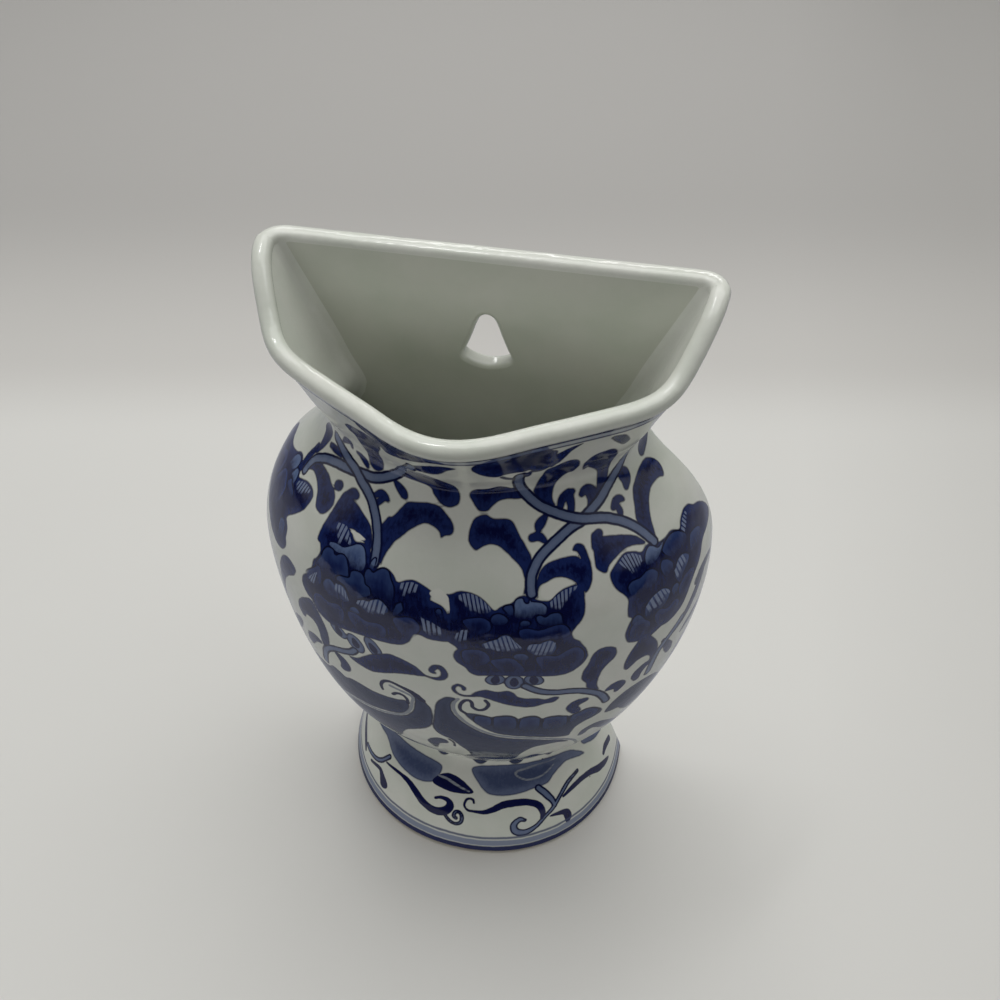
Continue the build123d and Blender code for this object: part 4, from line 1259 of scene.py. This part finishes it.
# %% Loops round the foot
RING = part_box("foot_ring")[1].z / MM
CORNER_POINTS = len(edge) - 1
back_share = np.linspace(0, 1, 60)


def foot_loop(section_heights, heights, grow=0.0, back_line=None):
    """Closed loops at the heights, with the sections of section_heights.

    They are grown sideways and forwards, and back_line is a flat back of their own."""
    front = wall_rows(across, section_heights, grow)
    half = side_half(section_heights) + grow
    rows = []
    for row in range(len(heights)):
        if back_line is None:
            deep = PLATE_FRONT + (edge[1:, 1] - PLATE_FRONT) * (PLATE + grow) / PLATE
            right = np.stack([half[row] + edge[1:, 0], deep], axis=1)
        else:
            right = np.stack([half[row] - np.linspace(0.1, 1, CORNER_POINTS),
                              np.full(CORNER_POINTS, back_line)], axis=1)
        x = right[-1, 0] * (1 - 2 * back_share[1:-1])
        across_back = np.stack([x, np.full(len(x), right[-1, 1])], axis=1)
        left = right[::-1] * [-1, 1]
        plan = np.vstack([front[row, :, :2], right, across_back, left])
        rows.append(np.column_stack([plan, np.full(len(plan), heights[row])]))
    return np.stack(rows)


foot_heights = even_heights(RING, WAIST, PITCH)
outer_loops = foot_loop(foot_heights, foot_heights)
loop_columns = outer_loops.shape[1]
print("foot:", len(foot_heights), "loops of", loop_columns, "points")

# %% Where the foot's points lie on the painter's map
foot_places = np.full((*outer_loops.shape[:2], 2), np.nan)
foot_places[:, :COLUMNS] = places_for(across, foot_heights)
round_corner = outer_loops[:, COLUMNS - 1:COLUMNS + CORNER_POINTS, :2]
beyond = np.hypot(*np.diff(round_corner, axis=1).transpose(2, 0, 1)).cumsum(1)
foot_places[:, COLUMNS:COLUMNS + CORNER_POINTS, 0] = EDGE + beyond
foot_places[:, -CORNER_POINTS:, 0] = -(EDGE + beyond[:, ::-1])
foot_places[:, COLUMNS:COLUMNS + CORNER_POINTS, 1] = foot_heights[:, None]
foot_places[:, -CORNER_POINTS:, 1] = foot_heights[:, None]
print("the map goes on", round(float(beyond.max()), 1), "mm round the foot's corners")

# %% Foot skirt
foot_inner_heights = np.append(foot_heights[:-3:EVERY], WAIST)
foot = Skin()
foot_outer = foot.add_grid(outer_loops, (0.005, 0.005, 0.995, 0.6),
                           loop_facing(foot_loop(with_ends(foot_heights), with_ends(foot_heights)))[1:-1],
                           foot_places, closed=True)
inner_loops = foot_loop(foot_inner_heights, foot_inner_heights, -WALL, PLATE_FRONT)
foot_inner = foot.add_grid(inner_loops, (0.005, 0.62, 0.995, 0.88), loop_facing(inner_loops, -1),
                           closed=True)
around_again = [*range(loop_columns), 0]
foot.strip(foot_inner[0, around_again], foot_outer[0, around_again], (0.01, 0.9, 0.99, 0.93))
foot.strip(foot_outer[-1, around_again], foot_inner[-1, around_again], (0.01, 0.95, 0.99, 0.98))
print("foot skirt:", foot.total, "points,", len(foot.faces), "faces")

# %% Foot ring
RING_IN = 1.3
RING_WIDE = 3.0
RING_OUT = RING_IN + RING_WIDE
ring_rows = [(RING_IN, RING), (RING_IN, 0.7), (RING_IN + 0.12, 0.3), (RING_IN + 0.4, 0.06),
             (RING_IN + 0.8, 0), (RING_OUT - 0.6, 0), (RING_OUT - 0.2, 0.12), (RING_OUT, 0.5),
             (RING_OUT, RING)]
ground = np.zeros(1)
ring_loops = np.concatenate([foot_loop(ground, [z], -inset) for inset, z in ring_rows])
ring = Skin()
ring_outer = ring.add_grid(ring_loops, (0.01, 0.01, 0.99, 0.9), -loop_facing(ring_loops), closed=True)
ring.strip(ring_outer[0, around_again], ring_outer[-1, around_again], (0.01, 0.92, 0.99, 0.97))
print("foot ring:", ring.total, "points,", len(ring.faces), "faces")

# %% [markdown]
# ## Finishes
# A material is a small network of nodes. A few helpers below place and join the nodes, so
# that each finish reads as what it does. Effects that more than one finish uses are node
# groups: they put out colours, masks and heights, and the shader stays in the material.

# %% Colours, and links between nodes
def linear(red, green, blue):
    """A colour as it is read on a screen, 0 to 255, in the scale light works in."""
    def one(v):
        v /= 255
        return v / 12.92 if v <= 0.04045 else ((v + 0.055) / 1.055) ** 2.4
    return one(red), one(green), one(blue), 1.0


def join(tree, value, socket):
    """Sets a socket to a plain value, or links another node's output to it."""
    if isinstance(value, bpy.types.NodeSocket):
        tree.links.new(value, socket)
    else:
        socket.default_value = value


print("the glaze's white, as light sees it:", [round(v, 3) for v in linear(213, 214, 206)])


# %% Helpers that place one node each
def noise(tree, at, scale, detail=2.0, roughness=0.5, distortion=0.0):
    """A soft random value over the surface, around 0.5."""
    n = tree.nodes.new("ShaderNodeTexNoise")
    join(tree, at, n.inputs["Vector"])
    settings = {"Scale": scale, "Detail": detail, "Roughness": roughness, "Distortion": distortion}
    for name, value in settings.items():
        n.inputs[name].default_value = value
    return n.outputs["Fac"]


def reach(tree, value, low, high, to_low=0.0, to_high=1.0, kind="LINEAR"):
    """Maps a value from low..high to to_low..to_high and holds it there."""
    n = tree.nodes.new("ShaderNodeMapRange")
    n.interpolation_type = kind
    for k, v in enumerate((value, low, high, to_low, to_high)):
        join(tree, v, n.inputs[k])
    return n.outputs["Result"]


def sums(tree, kind, a, b=0.0):
    """One step of arithmetic on values."""
    n = tree.nodes.new("ShaderNodeMath")
    n.operation = kind
    join(tree, a, n.inputs[0])
    join(tree, b, n.inputs[1])
    return n.outputs[0]


def times(tree, a, b):
    """One value times another."""
    return sums(tree, "MULTIPLY", a, b)


def plus(tree, a, b):
    """One value and another."""
    return sums(tree, "ADD", a, b)


def minus(tree, a, b):
    """One value less another."""
    return sums(tree, "SUBTRACT", a, b)


def blend(tree, share, below, above, kind="MIX"):
    """Lays one colour over another by a share."""
    n = tree.nodes.new("ShaderNodeMix")
    n.data_type = "RGBA"
    n.blend_type = kind
    for k, v in ((0, share), (6, below), (7, above)):
        join(tree, v, n.inputs[k])
    return n.outputs[2]


def place_on_clay(tree, stretch=(1.0, 1.0, 1.0)):
    """The place on the object in metres, stretched for streaks."""
    at = tree.nodes.new("ShaderNodeTexCoord").outputs["Object"]
    if stretch == (1.0, 1.0, 1.0):
        return at
    n = tree.nodes.new("ShaderNodeMapping")
    join(tree, at, n.inputs["Vector"])
    n.inputs["Scale"].default_value = stretch
    return n.outputs["Vector"]


print("one helper each for", [helper.__name__ for helper in (noise, reach, sums, blend, place_on_clay)])

# %% Helpers to make and use a node group
COLOUR, VALUE = "NodeSocketColor", "NodeSocketFloat"


def new_group(name, ins, outs):
    """A node group with named sockets: (name, kind, first value)."""
    print(f"group {name}: {len(ins)} in, {len(outs)} out")
    tree = bpy.data.node_groups.new(name, "ShaderNodeTree")
    for label, kind, value in ins:
        tree.interface.new_socket(label, in_out="INPUT", socket_type=kind).default_value = value
    for label, kind in outs:
        tree.interface.new_socket(label, in_out="OUTPUT", socket_type=kind)
    return tree, tree.nodes.new("NodeGroupInput").outputs, tree.nodes.new("NodeGroupOutput").inputs


def use_group(tree, group, **values):
    """Places a group and sets its inputs by name."""
    n = tree.nodes.new("ShaderNodeGroup")
    n.node_tree = group
    for label, value in values.items():
        join(tree, value, n.inputs[label.replace("_", " ")])
    return n.outputs


# %% [markdown]
# ## White glaze
# The glaze is a thick, faintly green glass over the white clay. It is never quite even:
# clouds of a cooler tone, a few dark pinholes, and a slow waviness that bends the
# reflections. One group makes all of that, and every glazed finish uses it.

# %% Group: white glaze
GLAZE = linear(213, 214, 206)
# A greener glaze for the insides, darker as painted shade.
GREENER_SHADED_GLAZE = linear(196, 198, 186)
COOLER, GRAIN_TONE, PINHOLE_TONE = linear(243, 247, 243), linear(196, 198, 188), linear(70, 66, 58)
PITS = 105
glaze_group, given, result = new_group(
    "white_glaze_surface",
    [("Tint", COLOUR, GLAZE), ("Waviness", VALUE, 1.0), ("Ripple", VALUE, 0.0)],
    [("Colour", COLOUR), ("Roughness", VALUE), ("Height", VALUE)])
t = glaze_group
clay_place = place_on_clay(t)
clouds = reach(t, noise(t, clay_place, 55, 3.0, 0.55), 0.35, 0.68)
cool = blend(t, 1.0, given["Tint"], COOLER, "MULTIPLY")
tone = blend(t, clouds, given["Tint"], cool)
fine = reach(t, noise(t, clay_place, 900, 2.0), 0.3, 0.7)
tone = blend(t, times(t, fine, 0.12), tone, GRAIN_TONE)
pits = t.nodes.new("ShaderNodeTexVoronoi")
join(t, clay_place, pits.inputs["Vector"])
pits.inputs["Scale"].default_value = PITS
pinhole = reach(t, pits.outputs["Distance"], 0.022, 0.036, 1.0, 0.0)
rare = reach(t, noise(t, clay_place, 38, 1.0), 0.51, 0.53)
pinhole = times(t, pinhole, rare)
tone = blend(t, times(t, pinhole, 0.8), tone, PINHOLE_TONE)
join(t, tone, result["Colour"])
join(t, reach(t, noise(t, clay_place, 140, 2.0), 0.3, 0.7, 0.07, 0.15), result["Roughness"])
slow = noise(t, clay_place, 85, 2.0, 0.5)
peel = noise(t, clay_place, 420, 1.0, 0.4)
waves = plus(t, times(t, slow, 0.8), times(t, peel, 0.12))
waves = times(t, waves, given["Waviness"])
waves = plus(t, waves, times(t, noise(t, clay_place, 1050, 2.0), given["Ripple"]))
join(t, minus(t, waves, times(t, pinhole, 0.3)), result["Height"])

# %% [markdown]
# ## A coat of cobalt
# Cobalt gathers at the edge of a brush mark and thins towards its middle, and the brush
# leaves streaks. The group takes a coat's distance and what lies below it. Edges waver a
# little, as a hand does, and bleed very slightly into the glaze.

# %% Group: one brushed coat
HAND_WAVER = 520
RIM_SOFTNESS = 0.12
coat_group, given, result = new_group(
    "brushed_coat",
    [("Below", COLOUR, GLAZE), ("Distance", VALUE, FAR), ("Edge tone", COLOUR, GLAZE),
     ("Middle tone", COLOUR, GLAZE), ("Rim tone", COLOUR, GLAZE), ("Rim width", VALUE, 0.4),
     ("Fade", VALUE, 4.0), ("Softness", VALUE, 0.09), ("Streaks", VALUE, 0.4), ("Down", VALUE, 0.0)],
    [("Colour", COLOUR), ("Mask", VALUE)])
t = coat_group
clay_place = place_on_clay(t)
waver = times(t, minus(t, noise(t, clay_place, HAND_WAVER, 2.0), 0.5), 0.34)
distance = plus(t, given["Distance"], waver)
soft_in = times(t, given["Softness"], -1.0)
mask = reach(t, distance, given["Softness"], soft_in, kind="SMOOTHSTEP")
depth = times(t, distance, -1.0)
middle = reach(t, depth, given["Rim width"], given["Fade"], kind="SMOOTHSTEP")
streak = noise(t, place_on_clay(t, (1.0, 1.0, 0.22)), 1150, 2.0, 0.6, 0.3)
pool = noise(t, clay_place, 230, 2.0, 0.6)
flow = reach(t, plus(t, times(t, streak, 0.6), times(t, pool, 0.4)), 0.36, 0.64, -0.5, 0.5)
middle = reach(t, plus(t, middle, times(t, flow, given["Streaks"])), 0.0, 1.0)
lasts = reach(t, plus(t, given["Down"], times(t, flow, 0.16)), 0.30, 1.0, 1.0, 0.0, "SMOOTHSTEP")
mask = times(t, mask, lasts)
tone = blend(t, middle, given["Edge tone"], given["Middle tone"])
rim_in = plus(t, given["Rim width"], RIM_SOFTNESS)
rim_out = minus(t, given["Rim width"], RIM_SOFTNESS)
rim_mask = reach(t, depth, rim_in, rim_out, kind="SMOOTHSTEP")
tone = blend(t, rim_mask, tone, given["Rim tone"])
join(t, blend(t, mask, given["Below"], tone), result["Colour"])
join(t, mask, result["Mask"])

# %% [markdown]
# Two smaller marks have groups too. The tips of the petals are striped: the pale stripes
# lie where the count of stripes is near a whole number, so they stay crisp at any size.
# The level lines under the lip and round the foot are bands of a distance or a height.

# %% Group: striped petal tip
tip_group, given, result = new_group(
    "striped_petal_tip",
    [("Below", COLOUR, GLAZE), ("Distance", VALUE, FAR), ("Count", VALUE, 0.5), ("Down", VALUE, 1.0),
     ("Tone", COLOUR, GLAZE)],
    [("Colour", COLOUR)])
t = tip_group
hand = minus(t, noise(t, place_on_clay(t), HAND_WAVER, 2.0), 0.5)
beside = minus(t, sums(t, "FRACT", plus(t, given["Count"], 0.5)), 0.5)
beside = plus(t, sums(t, "ABSOLUTE", beside), times(t, hand, 0.22))
pale = reach(t, beside, 0.24, 0.38, 1.0, 0.0, "SMOOTHSTEP")
inside = reach(t, plus(t, given["Distance"], times(t, hand, 0.5)), 0.1, -0.2, kind="SMOOTHSTEP")
lasts = reach(t, plus(t, given["Down"], hand), 0.55, 1.05, 1.0, 0.0, "SMOOTHSTEP")
mask = times(t, times(t, pale, inside), lasts)
join(t, blend(t, mask, given["Below"], given["Tone"]), result["Colour"])

# %% Group: level band
band_group, given, result = new_group(
    "level_band",
    [("Below", COLOUR, GLAZE), ("Level", VALUE, 0.0), ("From", VALUE, 0.0), ("To", VALUE, 1.0),
     ("Softness", VALUE, 0.15), ("Tone", COLOUR, GLAZE), ("Strength", VALUE, 1.0)],
    [("Colour", COLOUR)])
t = band_group
hand = times(t, minus(t, noise(t, place_on_clay(t), 260, 2.0), 0.5), 0.5)
level = plus(t, given["Level"], hand)
soft_in = times(t, given["Softness"], -1.0)
past = reach(t, minus(t, level, given["From"]), soft_in, given["Softness"], kind="SMOOTHSTEP")
before = reach(t, minus(t, given["To"], level), soft_in, given["Softness"], kind="SMOOTHSTEP")
mask = times(t, times(t, past, before), given["Strength"])
join(t, blend(t, mask, given["Below"], given["Tone"]), result["Colour"])

# %% [markdown]
# ## The finishes
# Blue and white: the white glaze's colour goes under the coats, and one glassy surface
# lies over everything. The plain white glazes are the same without the coats. The standing
# ring is bare fired clay: warm, dry and a little gritty.

# %% Helpers for a material, its glazed surface and what was painted on the points
WAVE_DEPTH, PLAIN_WAVE_DEPTH = 0.00035, 0.00045


def new_material(name):
    """A material with its Principled shader, and the shader itself."""
    material = bpy.data.materials.new(name)
    material.use_nodes = True
    return material, material.node_tree, material.node_tree.nodes["Principled BSDF"]


def glaze_over(tree, shader, colour, surface, bump):
    """Joins a colour and a glaze surface to the shader."""
    join(tree, colour, shader.inputs["Base Color"])
    join(tree, surface["Roughness"], shader.inputs["Roughness"])
    bent = tree.nodes.new("ShaderNodeBump")
    bent.inputs["Distance"].default_value = bump
    join(tree, surface["Height"], bent.inputs["Height"])
    join(tree, bent.outputs["Normal"], shader.inputs["Normal"])
    shader.inputs["IOR"].default_value = 1.5


def read(tree, name):
    """The value that was painted on each point under this name."""
    n = tree.nodes.new("ShaderNodeAttribute")
    n.attribute_name = name
    return n.outputs["Fac"]


print("waves in the glaze:", WAVE_DEPTH / MM, "and", round(PLAIN_WAVE_DEPTH / MM, 2), "mm deep")

# %% Material: cobalt painting under the glaze
stem_look = (92, 106, 136), (102, 114, 142), (12, 19, 56), 0.62, 1.5, 0.16, 0.7
bare_tone = 213, 214, 206
tones = {
    # coat: edge tone, middle tone, rim tone, rim width, fade, softness, streaks
    "loop": ((84, 98, 132), (96, 108, 138), (20, 28, 66), 0.42, 1.3, 0.16, 0.8),
    "flood": ((26, 40, 90), (9, 15, 58), (9, 14, 54), 0.30, 3.4, 0.28, 1.3),
    "thin_wash": ((50, 60, 90), (38, 47, 76), (26, 33, 62), 0.45, 3.0, 0.30, 0.7),
    "foot_wash": ((92, 102, 130), (66, 76, 106), (52, 62, 94), 0.4, 4.0, 0.34, 0.5),
    "cross_stem": stem_look,
    "stem": stem_look,
    "deep_petal": ((38, 54, 104), (12, 22, 68), (7, 11, 46), 0.45, 3.0, 0.16, 0.5),
    "pale_petal": ((94, 112, 148), (62, 79, 122), (10, 16, 54), 0.42, 4.0, 0.14, 0.4),
    "rear_petal": ((46, 63, 107), (24, 37, 84), (7, 11, 44), 0.48, 3.6, 0.15, 0.4),
    "middle_petal": ((49, 67, 110), (26, 40, 87), (7, 11, 44), 0.48, 3.6, 0.15, 0.4),
    "front_petal": ((58, 76, 120), (26, 38, 85), (7, 11, 44), 0.48, 3.2, 0.15, 0.4),
    "stripe": (116, 128, 156),
    "dark_line": ((18, 24, 70), (14, 18, 60), (9, 11, 46), 0.20, 1.6, 0.15, 0.5),
    "open_line": ((128, 134, 144), (150, 154, 158), (120, 126, 138), 0.02, 0.7, 0.16, 0.3),
    "bare_spot": (bare_tone, bare_tone, bare_tone, 0.02, 0.7, 0.14, 0.0),
}
blue_and_white, t, shader = new_material("blue_and_white")
surface = use_group(t, glaze_group, Waviness=1.0)
colour = surface["Colour"]
for coat, look in tones.items():
    distance = read(t, f"coat_{coat}")
    if coat == "stripe":
        colour = use_group(t, tip_group, Below=colour, Distance=distance,
                           Count=read(t, "stripe_count"), Down=read(t, "down_stripe"),
                           Tone=linear(*look))["Colour"]
        continue
    edge_tone, middle_tone, rim_tone, rim, fade, softness, streaks = look
    down = read(t, f"down_{coat}") if coat.endswith("petal") else 0.0
    colour = use_group(t, coat_group, Below=colour, Distance=distance, Edge_tone=linear(*edge_tone),
                       Middle_tone=linear(*middle_tone), Rim_tone=linear(*rim_tone), Rim_width=rim,
                       Fade=fade, Softness=softness, Streaks=streaks, Down=down)["Colour"]
print("coats under the glaze:", len(tones))

# %% Level lines under the lip and round the foot
# from, to, tone, strength; the lip's are mm below it and the foot's mm above the ground
lip_lines = [(0.5, 2.9, (118, 130, 158), 0.5), (0.3, 1.35, (20, 26, 72), 0.92),
             (2.6, 3.25, (24, 30, 76), 0.85)]
foot_lines = [(-1.0, 3.7, (30, 37, 78), 1.0), (3.9, 5.7, (112, 122, 146), 0.9),
              (6.1, 6.9, (58, 68, 102), 0.85)]
FOOT_LINE_SOFTNESS = 0.25
under_the_lip, on_front = read(t, "below_lip"), read(t, "on_front")
for start, end, look, strength in lip_lines:
    colour = use_group(t, band_group, Below=colour, Level=under_the_lip, From=start, To=end,
                       Tone=linear(*look), Strength=strength)["Colour"]
apart = t.nodes.new("ShaderNodeSeparateXYZ")
join(t, place_on_clay(t), apart.inputs[0])
above_ground = times(t, apart.outputs["Z"], 1 / MM)
for start, end, look, strength in foot_lines:
    colour = use_group(t, band_group, Below=colour, Level=above_ground, From=start, To=end,
                       Tone=linear(*look), Strength=times(t, on_front, strength),
                       Softness=FOOT_LINE_SOFTNESS)["Colour"]
print("level lines:", len(lip_lines), "under the lip and", len(foot_lines), "round the foot")

# %% [markdown]
# The plate takes the same finish as the front, because the painting goes on round its
# sides. Its two flat faces stay bare, so the finish asks which way a point faces. The
# inner face is greener and darker: the greener tone is the glaze's, the darker is painted shade.

# %% The plate's flat faces stay unpainted
turn = t.nodes.new("ShaderNodeSeparateXYZ")
join(t, t.nodes.new("ShaderNodeNewGeometry").outputs["Normal"], turn.inputs[0])
sideways = reach(t, sums(t, "ABSOLUTE", turn.outputs["X"]), 0.3, 0.7)
flat = times(t, read(t, "on_plate"), minus(t, 1.0, sideways))
inner_face = reach(t, times(t, turn.outputs["Y"], -1.0), 0.3, 0.8)
# Painted shade: the inner face takes the darker, greener glaze.
shaded_inner_glaze = use_group(t, glaze_group, Tint=GREENER_SHADED_GLAZE)
bare_glaze = blend(t, inner_face, surface["Colour"], shaded_inner_glaze["Colour"])
colour = blend(t, flat, colour, bare_glaze)
glaze_over(t, shader, colour, surface, WAVE_DEPTH)
plate_glaze = blue_and_white.copy()
plate_glaze.name = "plate_glaze"
print("nodes in the painted glaze:", len(t.nodes))

# %% Materials: plain white glaze, rippled on the lip, and greener with painted shade inside
plain_white, t, shader = new_material("plain_white_glaze")
surface = use_group(t, glaze_group, Waviness=1.5, Tint=GREENER_SHADED_GLAZE)
glaze_over(t, shader, surface["Colour"], surface, PLAIN_WAVE_DEPTH)
lip_white, t, shader = new_material("rippled_white_glaze")
surface = use_group(t, glaze_group, Waviness=1.8, Ripple=0.06)
glaze_over(t, shader, surface["Colour"], surface, PLAIN_WAVE_DEPTH)
print("nodes in the rippled glaze:", len(t.nodes))

# %% Material: bare clay
GRIT_DEPTH = 0.0002
bare_clay, t, shader = new_material("bare_fired_clay")
clay_place = place_on_clay(t)
warm = reach(t, noise(t, clay_place, 160, 3.0), 0.35, 0.65)
tone = blend(t, warm, linear(214, 206, 188), linear(190, 176, 150))
speck = reach(t, noise(t, clay_place, 1600, 1.0), 0.66, 0.72)
tone = blend(t, times(t, speck, 0.7), tone, linear(110, 92, 70))
join(t, tone, shader.inputs["Base Color"])
join(t, reach(t, noise(t, clay_place, 700), 0.3, 0.7, 0.7, 0.92), shader.inputs["Roughness"])
bent = t.nodes.new("ShaderNodeBump")
bent.inputs["Distance"].default_value = GRIT_DEPTH
join(t, noise(t, clay_place, 1300, 3.0, 0.6), bent.inputs["Height"])
join(t, bent.outputs["Normal"], shader.inputs["Normal"])
print("materials:", [m.name for m in bpy.data.materials])

# %% [markdown]
# ## Out of the kiln
# Each skin takes the place of its CAD solid, and the front and the plate's sides are then
# painted. The floor inside the vase stays as the CAD made it, since its flat shape is
# right and almost hidden: it only gets the glaze.

# %% Fire the pieces
shell_piece = fire(body, "body_shell_skin", "body_shell", blue_and_white)
collar_piece = fire(collar, "neck_collar_skin", "neck_collar", blue_and_white)
foot_piece = fire(foot, "foot_skirt_skin", "foot_skirt", blue_and_white)
fire(rolled_rim, "mouth_rim_skin", "mouth_rim", lip_white)
plate_piece = fire(plate, "back_plate_skin", "back_plate", plate_glaze)
fire(ring, "foot_ring_skin", "foot_ring", bare_clay)
paint(body, shell_piece)
paint(collar, collar_piece, under_lip)
paint(foot, foot_piece)
paint(plate, plate_piece, np.concatenate(plate_under_lip), on_plate=1.0)
inside_floor = frame["nodes"]["body_floor"]
# The inner floor takes the greener glaze with painted shade.
for slot in inside_floor.material_slots:
    slot.material = plain_white
print("glazed as the CAD made it:", inside_floor.name)

# %% [markdown]
# ## Camera
# The photograph looks down on the vase from close by, a little from the right. The
# camera stands where the outlines of the mouth, the belly and the foot fit the picture.

# %% Camera
CAMERA_AT = Vector((40.74, -161.91, 307.81)) * MM
LOOKS_AT = Vector((8.6, -2.5, 148.0)) * MM
ROLL = math.radians(0.3)
LENS, FILM_WIDTH = 33.48, 36.0
NEAREST = 0.01
back_axis = (CAMERA_AT - LOOKS_AT).normalized()
right_axis = Vector((0, 0, 1)).cross(back_axis).normalized()
up_axis = back_axis.cross(right_axis)
rolled_right = math.cos(ROLL) * right_axis + math.sin(ROLL) * up_axis
rolled_up = math.cos(ROLL) * up_axis - math.sin(ROLL) * right_axis
camera_data = bpy.data.cameras.new("photo_view")
camera_data.lens = LENS
camera_data.sensor_width = FILM_WIDTH
camera_data.clip_start = NEAREST
camera = bpy.data.objects.new("photo_view", camera_data)
turned = Matrix((rolled_right, rolled_up, back_axis)).transposed()
camera.matrix_world = Matrix.Translation(CAMERA_AT) @ turned.to_4x4()
bpy.context.scene.collection.objects.link(camera)
bpy.context.scene.camera = camera
print("camera:", round((CAMERA_AT - LOOKS_AT).length / MM), "mm from what it looks at")

# %% [markdown]
# ## Table and light
# The vase stands on a pale table that ends a hand's width in front of it, and beyond it
# the room is dark: that edge is the level line in the belly's gloss, under which the
# blue looks greyer. Daylight comes softly from behind, above and both sides. A wide weak
# lamp in front stands for the rest of the room, and isn't seen in the gloss.

# %% Table top
TABLE_FRONT, TABLE_BACK, TABLE_HALF = -0.142, 2.2, 1.8
table_mesh = bpy.data.meshes.new("table_top")
table_mesh.from_pydata([(-TABLE_HALF, TABLE_FRONT, 0), (TABLE_HALF, TABLE_FRONT, 0),
                        (TABLE_HALF, TABLE_BACK, 0), (-TABLE_HALF, TABLE_BACK, 0)], [], [(0, 1, 2, 3)])
table_top = bpy.data.objects.new("table_top", table_mesh)
bpy.context.scene.collection.objects.link(table_top)
print("table: its edge lies", round((cad_low.y - TABLE_FRONT) / MM), "mm in front of the vase")

# %% [markdown]
# In the photograph the table is palest in front and shades off behind the vase and to its
# right. Its colour carries painted shade: three blends of tones follow the way back, the last a
# painted lift far back where the lamps fall off, and one more blend is a painted shadow to the right.
# The gloss mirrors the table bluer and darker.

# %% The table's tones
# Table tones with painted shade: darker behind the vase, and a painted lift that brightens it far back.
NEAR, MIDDLE, FARTHER, FARTHEST = (linear(214, 213, 209), linear(199, 197, 193),
                                   linear(173, 171, 168), linear(186, 184, 181))
IN_SHADE, GRAIN, PAINTED_REFLECTION_TONE = linear(160, 158, 154), linear(160, 158, 152), linear(70, 84, 128)
table_paint, t, shader = new_material("pale_table")
at = place_on_clay(t)
apart = t.nodes.new("ShaderNodeSeparateXYZ")
join(t, at, apart.inputs[0])
away = minus(t, times(t, apart.outputs["Y"], 0.98), times(t, apart.outputs["X"], 0.2))
near_shade = reach(t, away, 0.19, 0.26, kind="SMOOTHSTEP")
far_shade = reach(t, away, 0.22, 0.46, kind="SMOOTHSTEP")
tone = blend(t, near_shade, NEAR, MIDDLE)
tone = blend(t, far_shade, tone, FARTHER)
tone = blend(t, reach(t, away, 0.40, 0.95), tone, FARTHEST)
# Painted shadow on the table to the right.
right_shade = reach(t, apart.outputs["X"], 0.12, 0.24, 0.0, 0.3)
tone = blend(t, right_shade, tone, IN_SHADE)
tone = blend(t, times(t, noise(t, at, 14, 3.0), 0.04), tone, GRAIN)
# Painted reflection: in the gloss the table looks bluer and darker than it is.
painted_reflection_share = times(t, t.nodes.new("ShaderNodeLightPath").outputs["Is Glossy Ray"], 0.4)
tone = blend(t, painted_reflection_share, tone, PAINTED_REFLECTION_TONE)
join(t, tone, shader.inputs["Base Color"])
shader.inputs["Roughness"].default_value = 0.75
shader.inputs["Specular IOR Level"].default_value = 0.2
table_mesh.materials.append(table_paint)
print("nodes in the table's paint:", len(t.nodes))


# %% Light
def softbox(name, at, look, size, power, in_gloss=True):
    """A large even lamp that looks at a point; sizes in metres, power in watts."""
    data = bpy.data.lights.new(name, "AREA")
    data.shape = "RECTANGLE"
    data.size, data.size_y = size
    data.energy = power
    lamp = bpy.data.objects.new(name, data)
    lamp.location = at
    lamp.rotation_euler = (Vector(look) - Vector(at)).to_track_quat("-Z", "Y").to_euler()
    lamp.visible_glossy = in_gloss
    bpy.context.scene.collection.objects.link(lamp)
    print(f"{name}: {power} W over {size[0]} x {size[1]} m")


softbox("skylight", (0.05, 0.3, 1.3), (0, 0.05, 0), (1.5, 1.1), 10.5)
softbox("window_behind", (-0.2, 1.28, 0.93), (0, 0, 0.19), (0.9, 0.09), 1.7)
softbox("ceiling_lamp", (-0.29, 0.17, 1.36), (0, 0, 0.19), (0.34, 0.06), 1.5)
softbox("room_in_front", (-0.3, -1.2, 0.35), (0, 0, 0.1), (1.8, 0.7), 5.2, in_gloss=False)

# %% World: pale behind and at the sides, dark in front and below
DARK, PALE = (0.012, 0.012, 0.014, 1), (0.42, 0.42, 0.41, 1)
SEEN_BY_CAMERA = linear(196, 194, 190)
world = bpy.data.worlds.new("quiet_room")
world.use_nodes = True
t = world.node_tree
backdrop = t.nodes["Background"]
apart = t.nodes.new("ShaderNodeSeparateXYZ")
join(t, t.nodes.new("ShaderNodeTexCoord").outputs["Generated"], apart.inputs[0])
not_front = reach(t, apart.outputs["Y"], -0.55, -0.25, kind="SMOOTHSTEP")
not_below = reach(t, apart.outputs["Z"], -0.02, 0.03)
lit = times(t, not_front, not_below)
tone = blend(t, lit, DARK, PALE)
in_view = t.nodes.new("ShaderNodeLightPath").outputs["Is Camera Ray"]
join(t, blend(t, in_view, tone, SEEN_BY_CAMERA), backdrop.inputs["Color"])
bpy.context.scene.world = world
bpy.context.scene.view_settings.view_transform = "Standard"
print("world:", world.name)
